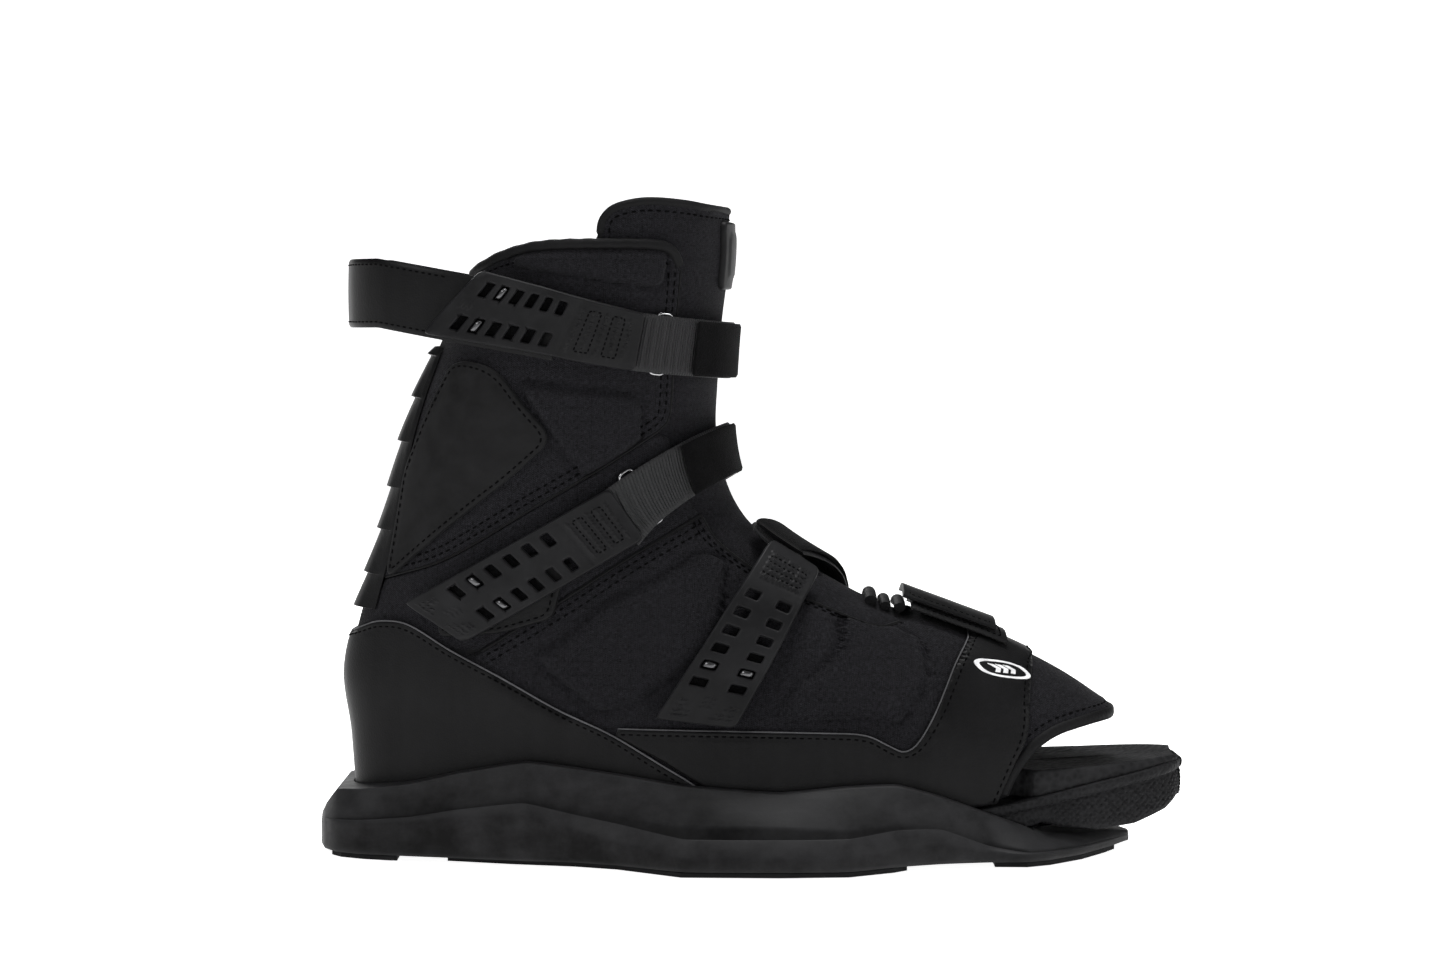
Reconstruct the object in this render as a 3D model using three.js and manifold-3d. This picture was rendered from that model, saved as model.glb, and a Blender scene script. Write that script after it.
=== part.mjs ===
// Open-toe wakeboard boot on its baseplate chassis, right foot.
// Millimetres, +X toe, +Y medial side, +Z up. The origin is midway between the two
// board bolts, on the board's surface.
import * as THREE from 'three';
import { mergeVertices } from 'three/addons/utils/BufferGeometryUtils.js';
import Module from 'manifold-3d';

const wasm = await Module();
wasm.setup();

// ---------------------------------------------------------------- driving dimensions
const WEBBING_WIDTH = 22;
const WEBBING_THICKNESS = 1.4;
const GAP = 0.35;                       // clearance between touching pieces

// Boot last, as [height, value] pairs: heel line, toe and shin line, half width,
// how square each level's outline is, and how much the heel is narrower than the ball.
const HEEL_LINE = [[10, -160], [45, -162.5], [68, -165.5], [90, -161], [123, -151],
  [160, -142], [190, -131], [226, -114.5], [250, -104]];
const SHIN_LINE = [[10, 126], [40, 135], [54, 129.6], [60, 122], [69, 108], [79, 88],
  [87, 67], [98, 38], [108, 19], [118, 3], [128, -9], [142, -16.5], [160, -20],
  [178, -19.5], [200, -18], [226, -15], [250, -15]];
const HALF_WIDTH = [[10, 48], [30, 50], [60, 48.5], [80, 45.5], [100, 42], [125, 40],
  [160, 42], [190, 45], [226, 48], [250, 49]];
const SQUARENESS = [[10, 0.60], [40, 0.64], [70, 0.76], [105, 0.92], [160, 0.92], [250, 0.86]];
const HEEL_TAPER = [[10, 0.2], [60, 0.16], [115, 0], [250, 0]];

// Layers of the boot, as distances outside the last.
const PAD = [-9.8, -5.7];
const TONGUE_SKIN = [-5.3, -3.4];
const LINER = [-8.4, -3.2];
const SHELL = [-2.7, -0.6];
const OVERLAY = [-0.25, 1.35];

const SHELL_BOTTOM = 16.9;
const CUFF_TOP = 229;
const TONGUE_TOP = 247;

// Sole and chassis.
const PAD_THICKNESS = 2;
const TRAY_FLOOR = 10.3;
const TROUGH_FLOOR = 5.5;               // board bolts' seats, between ridge and crest
const SOLE_HEEL = -160;
const SOLE_TOE = 155.5;
const SOLE_HALF = 48;
const BOLT_RADIUS = 75.5;               // board bolts sit this far from the origin
const BOLT_SLOT_WIDTH = 8;
const BOLT_SLOT_SWING = THREE.MathUtils.degToRad(9);

// Chassis sections along its length: x, half widths of wall, ridge and rim, and the
// heights of rim, ridge, crest and wall.
const CHASSIS = [
  [-174.6, 12, 10.6, 8, 14, 12.6, 12.2, 10],
  [-172, 25, 23, 17, 18.5, 14.4, 13.9, 12.3],
  [-167, 34, 31.5, 26, 25, 15.2, 14.7, 13.2],
  [-158, 40, 37.5, 33.5, 26, 15.8, 15.2, 13.8],
  [-138, 46, 42.5, 39.5, 28.6, 17.9, 17.2, 15.2],
  [-120, 50.5, 46.5, 43.5, 33, 21.3, 20.6, 17],
  [-95, 57.5, 52, 47, 37.5, 25, 23.9, 18.7],
  [-76, 61, 54, 49, 35.5, 21.7, 20, 14],
  [-60, 68, 57, 50.5, 33.2, 19, 17.4, 10.6],
  [-35, 84.5, 63, 52.5, 29.3, 15.7, 14, 6.8],
  [0, 86, 66, 53.5, 26.6, 15.8, 13.9, 6.9],
  [25, 84, 65, 53.5, 29, 14.4, 14, 6.7],
  [44, 72, 62, 53, 29.6, 16.1, 15.6, 9],
  [60, 65, 58, 51, 25.2, 15.6, 15, 9.5],
  [78, 61, 54, 47, 18.4, 8.6, 8.2, 6.2],
  [92, 60.5, 56, 42, 13.2, 6.2, 5.8, 5.2],
  [101, 55, 51, 38, 9.6, 5.8, 5.5, 5],
  [114, 41, 38, 28, 8.6, 5.4, 5.2, 4.8],
  [127, 20, 18, 13, 7.4, 5, 4.8, 4.5],
  [135.4, 4, 3.4, 2.6, 5.6, 4.6, 4.4, 4.2],
];

// ---------------------------------------------------------------- colours
const COLOURS = {
  moulded: [0x34343a, 0.62, 0],
  rubber: [0x1d1d20, 0.85, 0],
  fabric: [0x3a3a44, 0.9, 0],
  overlay: [0x202026, 0.55, 0],
  webbing: [0x6b6b72, 0.85, 0],
  hook: [0x151517, 0.98, 0],
  ladder: [0x2a2a2e, 0.45, 0],
  steel: [0x8b8b90, 0.3, 1],
  emblem: [0xd8d8da, 0.4, 0],
};

// ---------------------------------------------------------------- small maths
function valueAt(pairs, at) {
  let i = 0;
  while (i < pairs.length - 2 && at > pairs[i + 1][0]) i++;
  const [a, va] = pairs[i];
  const [b, vb] = pairs[i + 1];
  const t = THREE.MathUtils.clamp((at - a) / (b - a), 0, 1);
  const before = pairs[Math.max(i - 1, 0)];
  const after = pairs[Math.min(i + 2, pairs.length - 1)];
  const slopeA = i > 0 ? (vb - before[1]) / (b - before[0]) : (vb - va) / (b - a);
  const slopeB = i < pairs.length - 2 ? (after[1] - va) / (after[0] - a) : (vb - va) / (b - a);
  const t2 = t * t;
  const t3 = t2 * t;
  return va * (2 * t3 - 3 * t2 + 1) + slopeA * (b - a) * (t3 - 2 * t2 + t)
    + vb * (3 * t2 - 2 * t3) + slopeB * (b - a) * (t3 - t2);
}

const mix = THREE.MathUtils.lerp;

// Point of the last at angle phi round the leg (0 heel, PI toe, growing over the
// lateral side, -Y) and height z.
function lastPoint(phi, z) {
  const s = (1 - Math.cos(phi)) / 2;
  const heel = valueAt(HEEL_LINE, z);
  const front = valueAt(SHIN_LINE, z);
  const taper = 1 - valueAt(HEEL_TAPER, z) * (1 - s) ** 1.5;
  const sine = Math.sin(phi);
  const across = Math.sign(sine) * Math.abs(sine) ** valueAt(SQUARENESS, z);
  return new THREE.Vector3(heel + s * (front - heel), -valueAt(HALF_WIDTH, z) * taper * across, z);
}

function lastNormal(phi, z) {
  const step = 0.02;
  const alongPhi = lastPoint(phi + step, z).sub(lastPoint(phi - step, z));
  const alongZ = lastPoint(phi, z + 1).sub(lastPoint(phi, z - 1));
  return alongPhi.cross(alongZ).normalize();
}

function onBoot(phi, z, distance) {
  return lastPoint(phi, z).addScaledVector(lastNormal(phi, z), distance);
}

// Angle of the last's point at x on one side: 1 lateral, -1 medial.
function angleAt(x, z, side = 1) {
  const heel = valueAt(HEEL_LINE, z);
  const s = THREE.MathUtils.clamp((x - heel) / (valueAt(SHIN_LINE, z) - heel), 0.0005, 0.9995);
  const phi = Math.acos(1 - 2 * s);
  return side > 0 ? phi : 2 * Math.PI - phi;
}

// ---------------------------------------------------------------- solids
function solidOf(geometry) {
  const bare = geometry.index ? geometry.clone() : geometry;
  bare.deleteAttribute('normal');
  bare.deleteAttribute('uv');
  const merged = mergeVertices(bare, 1e-4);
  return new wasm.Manifold(new wasm.Mesh({
    numProp: 3,
    vertProperties: new Float32Array(merged.attributes.position.array),
    triVerts: new Uint32Array(merged.index.array),
  }));
}

function geometryOf(solid) {
  const mesh = solid.getMesh();
  const geometry = new THREE.BufferGeometry();
  geometry.setAttribute('position', new THREE.BufferAttribute(mesh.vertProperties, 3));
  geometry.setIndex(new THREE.BufferAttribute(mesh.triVerts, 1));
  return geometry;
}

function meshVolume(points, faces) {
  const cross = new THREE.Vector3();
  return faces.reduce((sum, [a, b, c]) =>
    sum + points[a].dot(cross.copy(points[b]).cross(points[c])) / 6, 0);
}

function closedGeometry(points, faces) {
  const out = meshVolume(points, faces) < 0 ? faces.map(([a, b, c]) => [a, c, b]) : faces;
  const geometry = new THREE.BufferGeometry().setFromPoints(points);
  geometry.setIndex(out.flat());
  return geometry;
}

// Rings of equally many points joined one to the next, with flat ends.
function loft(rings) {
  const n = rings[0].length;
  const faces = [];
  for (let r = 0; r < rings.length - 1; r++) {
    for (let i = 0; i < n; i++) {
      const a = r * n + i;
      const b = r * n + (i + 1) % n;
      faces.push([a, b, a + n], [b, b + n, a + n]);
    }
  }
  const middle = (ring) => ring.reduce((m, p) => m.add(p), new THREE.Vector3()).divideScalar(n);
  const points = rings.flat();
  const first = points.push(middle(rings[0])) - 1;
  const last = points.push(middle(rings.at(-1))) - 1;
  const base = (rings.length - 1) * n;
  for (let i = 0; i < n; i++) {
    faces.push([first, (i + 1) % n, i], [last, base + i, base + (i + 1) % n]);
  }
  return closedGeometry(points, faces);
}

// The whole boot form at one distance from the last, between two heights. Every form
// has its corners at the same angles and levels, so that layers stay parallel; the
// overshoot lengthens a form that is cut out of another.
function bootForm(distance, floor, top, levels, overshoot = 0) {
  const around = 28;
  const heights = Array.from({ length: levels + 1 }, (_, i) => mix(floor, top, i / levels));
  if (overshoot) heights.push(top + overshoot);
  if (overshoot) heights.unshift(floor - overshoot);
  const rings = heights.map((z) => Array.from({ length: around }, (_, i) => {
    const t = 2 * Math.PI * i / around;
    return onBoot(t - 0.16 * Math.sin(2 * t), z, distance);
  }));
  return solidOf(loft(rings));
}

// A side-view outline made solid between two widths.
function sideBlock(outline, from = -120, to = 120) {
  const shape = new THREE.Shape(outline.map(([x, z]) => new THREE.Vector2(x, z)));
  const block = new THREE.ExtrudeGeometry(shape, { depth: to - from, bevelEnabled: false });
  block.rotateX(Math.PI / 2);
  block.translate(0, to, 0);
  return solidOf(block);
}

const FORM_FLOOR = 12;
const FORM_TOP = 252;
const FORM_LEVELS = 12;

function layer([inner, outer]) {
  const outside = bootForm(outer, FORM_FLOOR, FORM_TOP, FORM_LEVELS);
  return outside.subtract(bootForm(inner, FORM_FLOOR, FORM_TOP, FORM_LEVELS, 3));
}

// A patch of even thickness: place(u, v, distance) gives its points, lift(u) the
// distance from the last to its underside.
function patch(place, lift, thickness, lengthSteps, widthSteps) {
  const rings = [];
  for (let i = 0; i <= lengthSteps; i++) {
    const u = i / lengthSteps;
    const row = Array.from({ length: widthSteps + 1 }, (_, j) => j / widthSteps);
    const below = row.map((v) => place(u, v, lift(u)));
    const above = row.map((v) => place(u, v, lift(u) + thickness)).reverse();
    rings.push([...below, ...above]);
  }
  return loft(rings);
}

const onLast = (edge) => (u, v, distance) => {
  const [phi, z] = edge(u, v);
  return onBoot(phi, z, distance);
};

// Side-view place between four corners.
function quadAt([backTop, frontTop, frontLow, backLow], u, v) {
  const x = mix(mix(backLow[0], frontLow[0], u), mix(backTop[0], frontTop[0], u), v);
  const z = mix(mix(backLow[1], frontLow[1], u), mix(backTop[1], frontTop[1], u), v);
  return [x, z];
}

function tube(route, radius, steps, sides = 6) {
  const circle = new THREE.Shape();
  for (let i = 0; i < sides; i++) {
    const t = 2 * Math.PI * i / sides;
    const move = i ? 'lineTo' : 'moveTo';
    circle[move](radius * Math.cos(t), radius * Math.sin(t));
  }
  return new THREE.ExtrudeGeometry(circle, {
    steps, bevelEnabled: false, extrudePath: new THREE.CatmullRomCurve3(route),
  });
}

// Frame standing on a patch: x along it (reversed where ahead is negative), z out.
function seat(place, u, v, distance, ahead = 0.02) {
  const at = place(u, v, distance);
  const along = place(u + ahead, v, distance).sub(at).normalize();
  const out = place(u, v, distance + 1).sub(at).projectOnPlane(along).normalize();
  const across = out.clone().cross(along);
  return new THREE.Matrix4().makeBasis(along, across, out).setPosition(at);
}

// ---------------------------------------------------------------- the group
const boot = new THREE.Group();
boot.name = 'wakeboard_boot';

function add(name, shape, colour) {
  const [hex, roughness, metalness] = COLOURS[colour];
  const material = new THREE.MeshStandardMaterial({ color: hex, roughness, metalness });
  const geometry = shape instanceof wasm.Manifold ? geometryOf(shape) : shape;
  const mesh = new THREE.Mesh(geometry, material);
  mesh.name = name;
  boot.add(mesh);
  return mesh;
}

// ---------------------------------------------------------------- chassis and pads
function chassisSection([x, wall, ridge, rim, zRim, zRidge, zCrest, zWall]) {
  const trough = THREE.MathUtils.clamp((wall - ridge - 8) / 12, 0, 1);
  const crest = Math.max(wall - 4.5, ridge + 0.6 * (wall - ridge));
  const troughOut = crest - 0.12 * (wall - ridge);
  const floor = Math.max(zCrest - 2 - 6.5 * trough, Math.min(zCrest - 2, TROUGH_FLOOR));
  const half = [
    [wall - 1, PAD_THICKNESS], [wall, PAD_THICKNESS + 1], [wall, zWall], [crest, zCrest],
    [troughOut, floor], [ridge + 0.15 * (wall - ridge), floor], [ridge, zRidge], [rim, zRim],
  ];
  const right = half.map(([y, z]) => new THREE.Vector3(x, y, z));
  const left = half.map(([y, z]) => new THREE.Vector3(x, -y, z)).reverse();
  return [...right, ...left];
}

function soleHalfAt(x, inset = 0) {
  const s = THREE.MathUtils.clamp((x - SOLE_HEEL) / (SOLE_TOE - SOLE_HEEL), 0.002, 0.998);
  const sine = Math.sin(Math.acos(1 - 2 * s));
  return Math.max((SOLE_HALF * (1 - 0.18 * (1 - s) ** 1.5)) * sine ** 0.62 - inset, 0.6);
}

function arcSlot(centreAngle, radius, width, swing, low, high) {
  const shape = new THREE.Shape();
  shape.absarc(0, 0, radius + width / 2, centreAngle - swing, centreAngle + swing, false);
  shape.absarc(radius * Math.cos(centreAngle + swing), radius * Math.sin(centreAngle + swing),
    width / 2, centreAngle + swing, centreAngle + swing + Math.PI, false);
  shape.absarc(0, 0, radius - width / 2, centreAngle + swing, centreAngle - swing, true);
  shape.absarc(radius * Math.cos(centreAngle - swing), radius * Math.sin(centreAngle - swing),
    width / 2, centreAngle - swing - Math.PI, centreAngle - swing, false);
  const slot = new THREE.ExtrudeGeometry(shape, { depth: high - low, bevelEnabled: false, curveSegments: 4 });
  slot.translate(0, 0, low);
  return solidOf(slot);
}

function post(radius, low, high, x, y, sides = 10) {
  const cylinder = new THREE.CylinderGeometry(radius, radius, high - low, sides);
  cylinder.rotateX(Math.PI / 2);
  cylinder.translate(x, y, (low + high) / 2);
  return solidOf(cylinder);
}

const SOLE_SCREWS = [[-112, -19], [-112, 19], [62, -26], [62, 26]];
const SCREW_HEAD = 4.6;
const SCREW_SHANK = 2.5;

function soleFloorSolid(grow, low, high) {
  const rings = [];
  for (let i = 0; i <= 16; i++) {
    const x = mix(SOLE_HEEL - grow, 96, i / 16);
    const half = soleHalfAt(x, -grow);
    rings.push([[half, low], [half, high], [-half, high], [-half, low]]
      .map(([y, z]) => new THREE.Vector3(x, y, z)));
  }
  return solidOf(loft(rings));
}

function makeChassis() {
  let chassis = solidOf(loft(CHASSIS.map(chassisSection)));
  const clearance = bootForm(2.2, TRAY_FLOOR, 66, 4);
  chassis = chassis.subtract(clearance.add(soleFloorSolid(0.8, TRAY_FLOOR, 60)));
  for (const angle of [Math.PI / 2, -Math.PI / 2]) {
    chassis = chassis.subtract(arcSlot(angle, BOLT_RADIUS, BOLT_SLOT_WIDTH, BOLT_SLOT_SWING, -5, 40));
  }
  for (const [x, y] of SOLE_SCREWS) {
    chassis = chassis.subtract(post(SCREW_HEAD + 0.5, -5, 6, x, y));
    chassis = chassis.subtract(post(SCREW_SHANK + 0.4, -5, 30, x, y));
  }
  return chassis;
}

// Rubber pad between chassis and board, following the chassis outline a little inside it.
function boardPad(stations) {
  const rings = stations.map(([x, half]) => [
    [half, 0], [half, PAD_THICKNESS - GAP], [-half, PAD_THICKNESS - GAP], [-half, 0],
  ].map(([y, z]) => new THREE.Vector3(x, y, z)));
  let pad = solidOf(loft(rings));
  for (const angle of [Math.PI / 2, -Math.PI / 2]) {
    pad = pad.subtract(arcSlot(angle, BOLT_RADIUS, BOLT_SLOT_WIDTH + 3, BOLT_SLOT_SWING, -5, 40));
  }
  for (const [x, y] of SOLE_SCREWS) pad = pad.subtract(post(SCREW_HEAD + 1.2, -5, 40, x, y));
  return pad;
}

add('chassis', makeChassis(), 'moulded');
add('pad_centre', boardPad([[-124, 43], [-100, 51], [-76, 57], [-60, 64], [-36, 83],
  [0, 84.5], [25, 82.5], [42, 71.5], [47, 66]]), 'rubber');
add('pad_heel', boardPad([[-169, 27], [-165, 33], [-156, 38.5], [-146, 42], [-143, 42.5]]), 'rubber');
add('pad_toe', boardPad([[80, 58], [92, 58.5], [101, 53], [114, 39], [124, 23], [129, 13]]), 'rubber');

function soleScrew([x, y]) {
  const profile = [[0, 2.6], [SCREW_HEAD, 2.6], [SCREW_HEAD, 5.6], [SCREW_SHANK, 5.6],
    [SCREW_SHANK, 14], [0, 14]].map(([r, z]) => new THREE.Vector2(r, z));
  const screw = new THREE.LatheGeometry(profile, 10);
  screw.rotateX(Math.PI / 2);
  screw.translate(x, y, 0);
  return screw;
}
SOLE_SCREWS.forEach((place, i) => add(`sole_screw_${i + 1}`, solidOf(soleScrew(place)), 'steel'));

// ---------------------------------------------------------------- midsole and footbed
const MIDSOLE_TOP = [[-160, 16], [55, 16], [87, 21], [120, 28.4], [155.5, 35.4]];
const MIDSOLE_LOW = [[-160, 10.7], [90, 10.7], [99, 13.6], [107, 12], [121, 10.4],
  [136, 12], [149, 16.5], [155.5, 21]];
const FOOTBED_TOP = [[-158, 25], [-60, 23], [40, 23], [87, 32.6], [120, 34.4], [154, 37]];

function straight(pairs, at) {
  let i = 0;
  while (i < pairs.length - 2 && at > pairs[i + 1][0]) i++;
  const t = (at - pairs[i][0]) / (pairs[i + 1][0] - pairs[i][0]);
  return mix(pairs[i][1], pairs[i + 1][1], THREE.MathUtils.clamp(t, 0, 1));
}

function soleStations(from, to, count) {
  return Array.from({ length: count + 1 }, (_, i) =>
    (from + to) / 2 - (to - from) / 2 * Math.cos(Math.PI * i / count));
}

function makeMidsole() {
  const lip = 1.6;
  const rings = soleStations(SOLE_HEEL + 0.2, SOLE_TOE - 0.2, 26).map((x) => {
    const half = soleHalfAt(x, 0.4);
    const top = straight(MIDSOLE_TOP, x);
    const low = straight(MIDSOLE_LOW, x);
    const under = Math.max(low + 1, top - 4.2);
    const inner = Math.max(half - lip, half * 0.6);
    const side = [[inner, low], [inner, under], [half, under + 0.8], [half, top]];
    return [...side, ...side.map(([y, z]) => [-y, z]).reverse()]
      .map(([y, z]) => new THREE.Vector3(x, y, z));
  });
  let sole = solidOf(loft(rings));
  for (const [x, y] of SOLE_SCREWS) sole = sole.subtract(post(SCREW_SHANK + 0.4, 0, 14.6, x, y));
  return sole;
}

function footbedHalf(x) {
  const inside = lastHalf(x, 22) - 9.2;
  const open = soleHalfAt(x, 2.2);
  const t = THREE.MathUtils.smoothstep(x, 90, 98);
  return mix(inside, open, t);
}

function lastHalf(x, z) {
  return Math.abs(lastPoint(angleAt(x, z), z).y);
}

function makeFootbed() {
  const rings = soleStations(-150.5, SOLE_TOE - 2.4, 24).map((x) => {
    const half = Math.max(footbedHalf(x), 2);
    const top = straight(FOOTBED_TOP, x);
    const low = straight(MIDSOLE_TOP, x) + GAP;
    const side = [[half, low], [half, top - 1.2], [half - 1.4, top]];
    return [...side, ...side.map(([y, z]) => [-y, z]).reverse()]
      .map(([y, z]) => new THREE.Vector3(x, y, z));
  });
  const insideLiner = bootForm(LINER[0] - GAP - 0.3, FORM_FLOOR, 66, 4);
  const pastLiner = sideBlock([[86.8, 0], [170, 0], [170, 60], [86.8, 60]]);
  return solidOf(loft(rings)).intersect(insideLiner.add(pastLiner));
}

add('midsole', makeMidsole(), 'rubber');
add('footbed', makeFootbed(), 'rubber');

// ---------------------------------------------------------------- boot shell
const BACK = -190;
// Front edge of the cuff, then the slanted seam between cuff and lower shell.
const CUFF_FRONT = [[-36, 221], [-38.6, 191], [-40, 166]];
const CUFF_SEAM = [[-45, 160.5], [-67, 146.5], [-93, 131.5], [-126, 112.5], [BACK, 92]];
// Edge of the throat down the instep to the toe.
const THROAT = [[-40.4, 158], [-36, 140], [-22, 119], [0, 103.5], [22, 93.5], [38, 87.5], [48, 90]];
const TOE_EDGE = [[131, 54.6], [121.5, 53.6], [113, 51.8], [105, 49.4], [98.5, 45.6],
  [93.5, 41], [87.5, 33], [82.5, 21.6]];
const SHELL_FLOOR = [[53, SHELL_BOTTOM], [BACK, SHELL_BOTTOM]];

const cuffOutline = [[BACK, 213], [-117, 219.5], [-104, 225.5], [-90, CUFF_TOP - 0.5],
  [-66, CUFF_TOP], [-46, CUFF_TOP - 0.5], [-38, 226], ...CUFF_FRONT, ...CUFF_SEAM];
const lowerOutline = [...CUFF_SEAM.slice().reverse().map(([x, z]) => [x, z - 0.6]),
  ...THROAT, [58, 125], [160, 125], [160, 54.6], ...TOE_EDGE, ...SHELL_FLOOR];

// Throat opening, filled by the tongue; the liner stops short of it.
const tongueOutline = [[-67, 238], [-63, 243.5], [-56, TONGUE_TOP - 1], [-47, TONGUE_TOP],
  [-33, TONGUE_TOP - 1], [0, 242], [10, 130], [60, 116], [46, 84], [34, 81], [12, 87],
  [-12, 101], [-34, 121], [-50, 142], [-56, 166], [-61, 195], [-67, 225]];
const linerCut = [[-82, 260], [-82, 226], [-71, 195], [-62, 166], [-55, 142], [-38, 117.5],
  [-14, 96.5], [11, 83], [33, 77], [49, 79], [62, 120], [60, 260]];
const linerOutline = [[BACK, 212.5], [-117, 219], [-104, 225], [-90, CUFF_TOP - 1],
  [-60, CUFF_TOP - 0.5], [80, CUFF_TOP], [128, 56.4], [121, 55.4], [112.5, 53.4], [104.5, 51],
  [97.5, 47], [92, 42], [86, 33.6], [81, 22.4], ...SHELL_FLOOR];

const shell = layer(SHELL);
add('liner', layer(LINER).intersect(sideBlock(linerOutline)).subtract(sideBlock(linerCut)), 'fabric');
add('lower_shell', shell.intersect(sideBlock(lowerOutline)), 'fabric');
add('cuff_lateral', shell.intersect(sideBlock(cuffOutline, -120, -0.4)), 'fabric');
add('cuff_medial', shell.intersect(sideBlock(cuffOutline, 0.4, 120)), 'fabric');

// ---------------------------------------------------------------- overlays
const COUNTER_EDGE = [[-30, 27.7], [-44, 36.4], [-63, 47.6], [-82, 56.3], [-104, 68.3],
  [-123, 78], [-140, 88], [-151, 88], [-162, 84], [BACK, 82]];
const counterOutline = [[BACK, SHELL_BOTTOM], [-18, SHELL_BOTTOM], ...COUNTER_EDGE];
const randOutline = [[-16.6, SHELL_BOTTOM], [53, SHELL_BOTTOM], [82, 21.4], [88, 35], [93.4, 46.6],
  [95, 63], [98, 80], [98, 130], [74, 130], [72.5, 86], [66.5, 73], [58, 54.4], [51.5, 44],
  [46.7, 41.4], [41.5, 43.4], [34, 47], [26, 48.2], [-62, 49.8], [-60, 46.8], [-43, 37.4],
  [-29, 28.6]];
const overlay = layer(OVERLAY);
add('heel_counter', overlay.intersect(sideBlock(counterOutline)), 'overlay');
add('toe_rand', overlay.intersect(sideBlock(randOutline)), 'overlay');

const SPINE_HALF = 17;
const spineOutline = [[BACK, 92], [-100, 92], [-100, 192], [BACK, 192]];
add('spine', overlay.intersect(sideBlock(spineOutline, -SPINE_HALF, SPINE_HALF)), 'overlay');

const patchOutline = [[-122, 188], [-106, 185], [-84, 158], [-100, 143.5], [-126, 123],
  [-149, 103], [-141, 147]];
add('ankle_patch_lateral', overlay.intersect(sideBlock(patchOutline, -120, -SPINE_HALF - 1)), 'overlay');
add('ankle_patch_medial', overlay.intersect(sideBlock(patchOutline, SPINE_HALF + 1, 120)), 'overlay');

// ---------------------------------------------------------------- bindings
const BINDING_RADIUS = 1.7;
const BINDING_LINE = -1.25;

function collarHeight(x) {
  return straight([[-118, 219], [-104, 225.5], [-90, CUFF_TOP - 0.5], [-66, CUFF_TOP],
    [-46, CUFF_TOP - 0.5], [-38, 226], [-36, 221]], x);
}

function collarRoute() {
  const start = angleAt(-40, 226);
  return Array.from({ length: 21 }, (_, i) => {
    const phi = mix(start, -start, i / 20);
    const x = lastPoint(phi, 226).x;
    const z = collarHeight(x) + BINDING_RADIUS + 1.1;
    return onBoot(phi, z, BINDING_LINE);
  });
}

function toeRoute() {
  const edge = [[98, 43.4], [101, 45.4], [105.5, 48.4], [113, 50.8], [121.5, 52.8], [127, 53.4]];
  const along = (side) => edge.map(([x, z]) => {
    const point = onBoot(angleAt(x, z, side), z, BINDING_LINE);
    return point.setZ(z - BINDING_RADIUS - 0.5);
  });
  return [...along(1), ...along(-1).reverse()];
}

add('collar_binding', tube(collarRoute(), BINDING_RADIUS, 26), 'overlay');
add('toe_binding', tube(toeRoute(), BINDING_RADIUS, 20), 'overlay');

// ---------------------------------------------------------------- tongue
add('tongue_pad', layer(PAD).intersect(sideBlock(tongueOutline)), 'fabric');
add('tongue_skin', layer(TONGUE_SKIN).intersect(sideBlock(tongueOutline)), 'fabric');
const frontPatch = (u, v) => [mix(Math.PI - 0.52, Math.PI + 0.52, u), mix(213, 240, v)];
add('tongue_patch', patch(onLast(frontPatch), () => TONGUE_SKIN[1] + GAP + 0.35, 1.4, 8, 2), 'overlay');

// ---------------------------------------------------------------- throat tab and badge
function instepPatch(back, front, half) {
  return (u, v) => {
    const x = mix(back, front, u);
    let low = 60;
    let high = 130;
    for (let i = 0; i < 24; i++) {
      const z = (low + high) / 2;
      if (valueAt(SHIN_LINE, z) > x) low = z;
      else high = z;
    }
    const ridge = low;
    const y = mix(-half, half, v);
    let a = ridge - 45;
    let b = ridge;
    for (let i = 0; i < 24; i++) {
      const z = (a + b) / 2;
      if (lastHalf(x, z) > Math.abs(y)) a = z;
      else b = z;
    }
    return [angleAt(x, a, y < 0 ? 1 : -1), a];
  };
}
add('throat_tab_base', patch(onLast(instepPatch(50, 86, 19)), () => OVERLAY[1] + GAP + 0.5, 1.6, 4, 8), 'overlay');
add('throat_tab_flap', patch(onLast(instepPatch(46, 81, 16)), () => OVERLAY[1] + 3.1, 1.8, 4, 8), 'overlay');

function ovalPlate(width, height, thickness, bevel) {
  const oval = new THREE.Shape();
  oval.absellipse(0, 0, width / 2 - bevel, height / 2 - bevel, 0, 2 * Math.PI, false, 0);
  return new THREE.ExtrudeGeometry(oval, {
    depth: thickness - 2 * bevel, bevelThickness: bevel, bevelSize: bevel, bevelSegments: 1, curveSegments: 9,
  });
}
const badgePlace = onLast((u) => [angleAt(74 + 20 * u, 74 - 8 * u), 74 - 8 * u]);
const badge = ovalPlate(21, 11, 1.6, 0.5);
badge.applyMatrix4(seat(badgePlace, 0.5, 0, OVERLAY[1] + 1.5));
add('badge', solidOf(badge), 'emblem');

// ---------------------------------------------------------------- rear pull loop
// Plan of the loop's inner face, from under the lateral ladder round behind the cuff.
const LOOP_PLAN = [[-84, -45.4], [-97, -43], [-112, -40.5], [-130, -37.2], [-148, -29.5],
  [-159, -17], [-163, 0]];
const LOOP_HEIGHTS = [200, 226];
const LOOP_FALL = 0.2;                  // the loop slopes down along the cuff, in front of this x
const LOOP_FALL_FROM = -150;
const LOOP_THICKNESS = 1.3;

function loopCurve() {
  const half = LOOP_PLAN.map(([x, y]) => new THREE.Vector3(x, y, 0));
  const other = half.slice(0, -1).map((p) => new THREE.Vector3(p.x, -p.y, 0)).reverse();
  return new THREE.CatmullRomCurve3([...half, ...other]);
}

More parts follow.
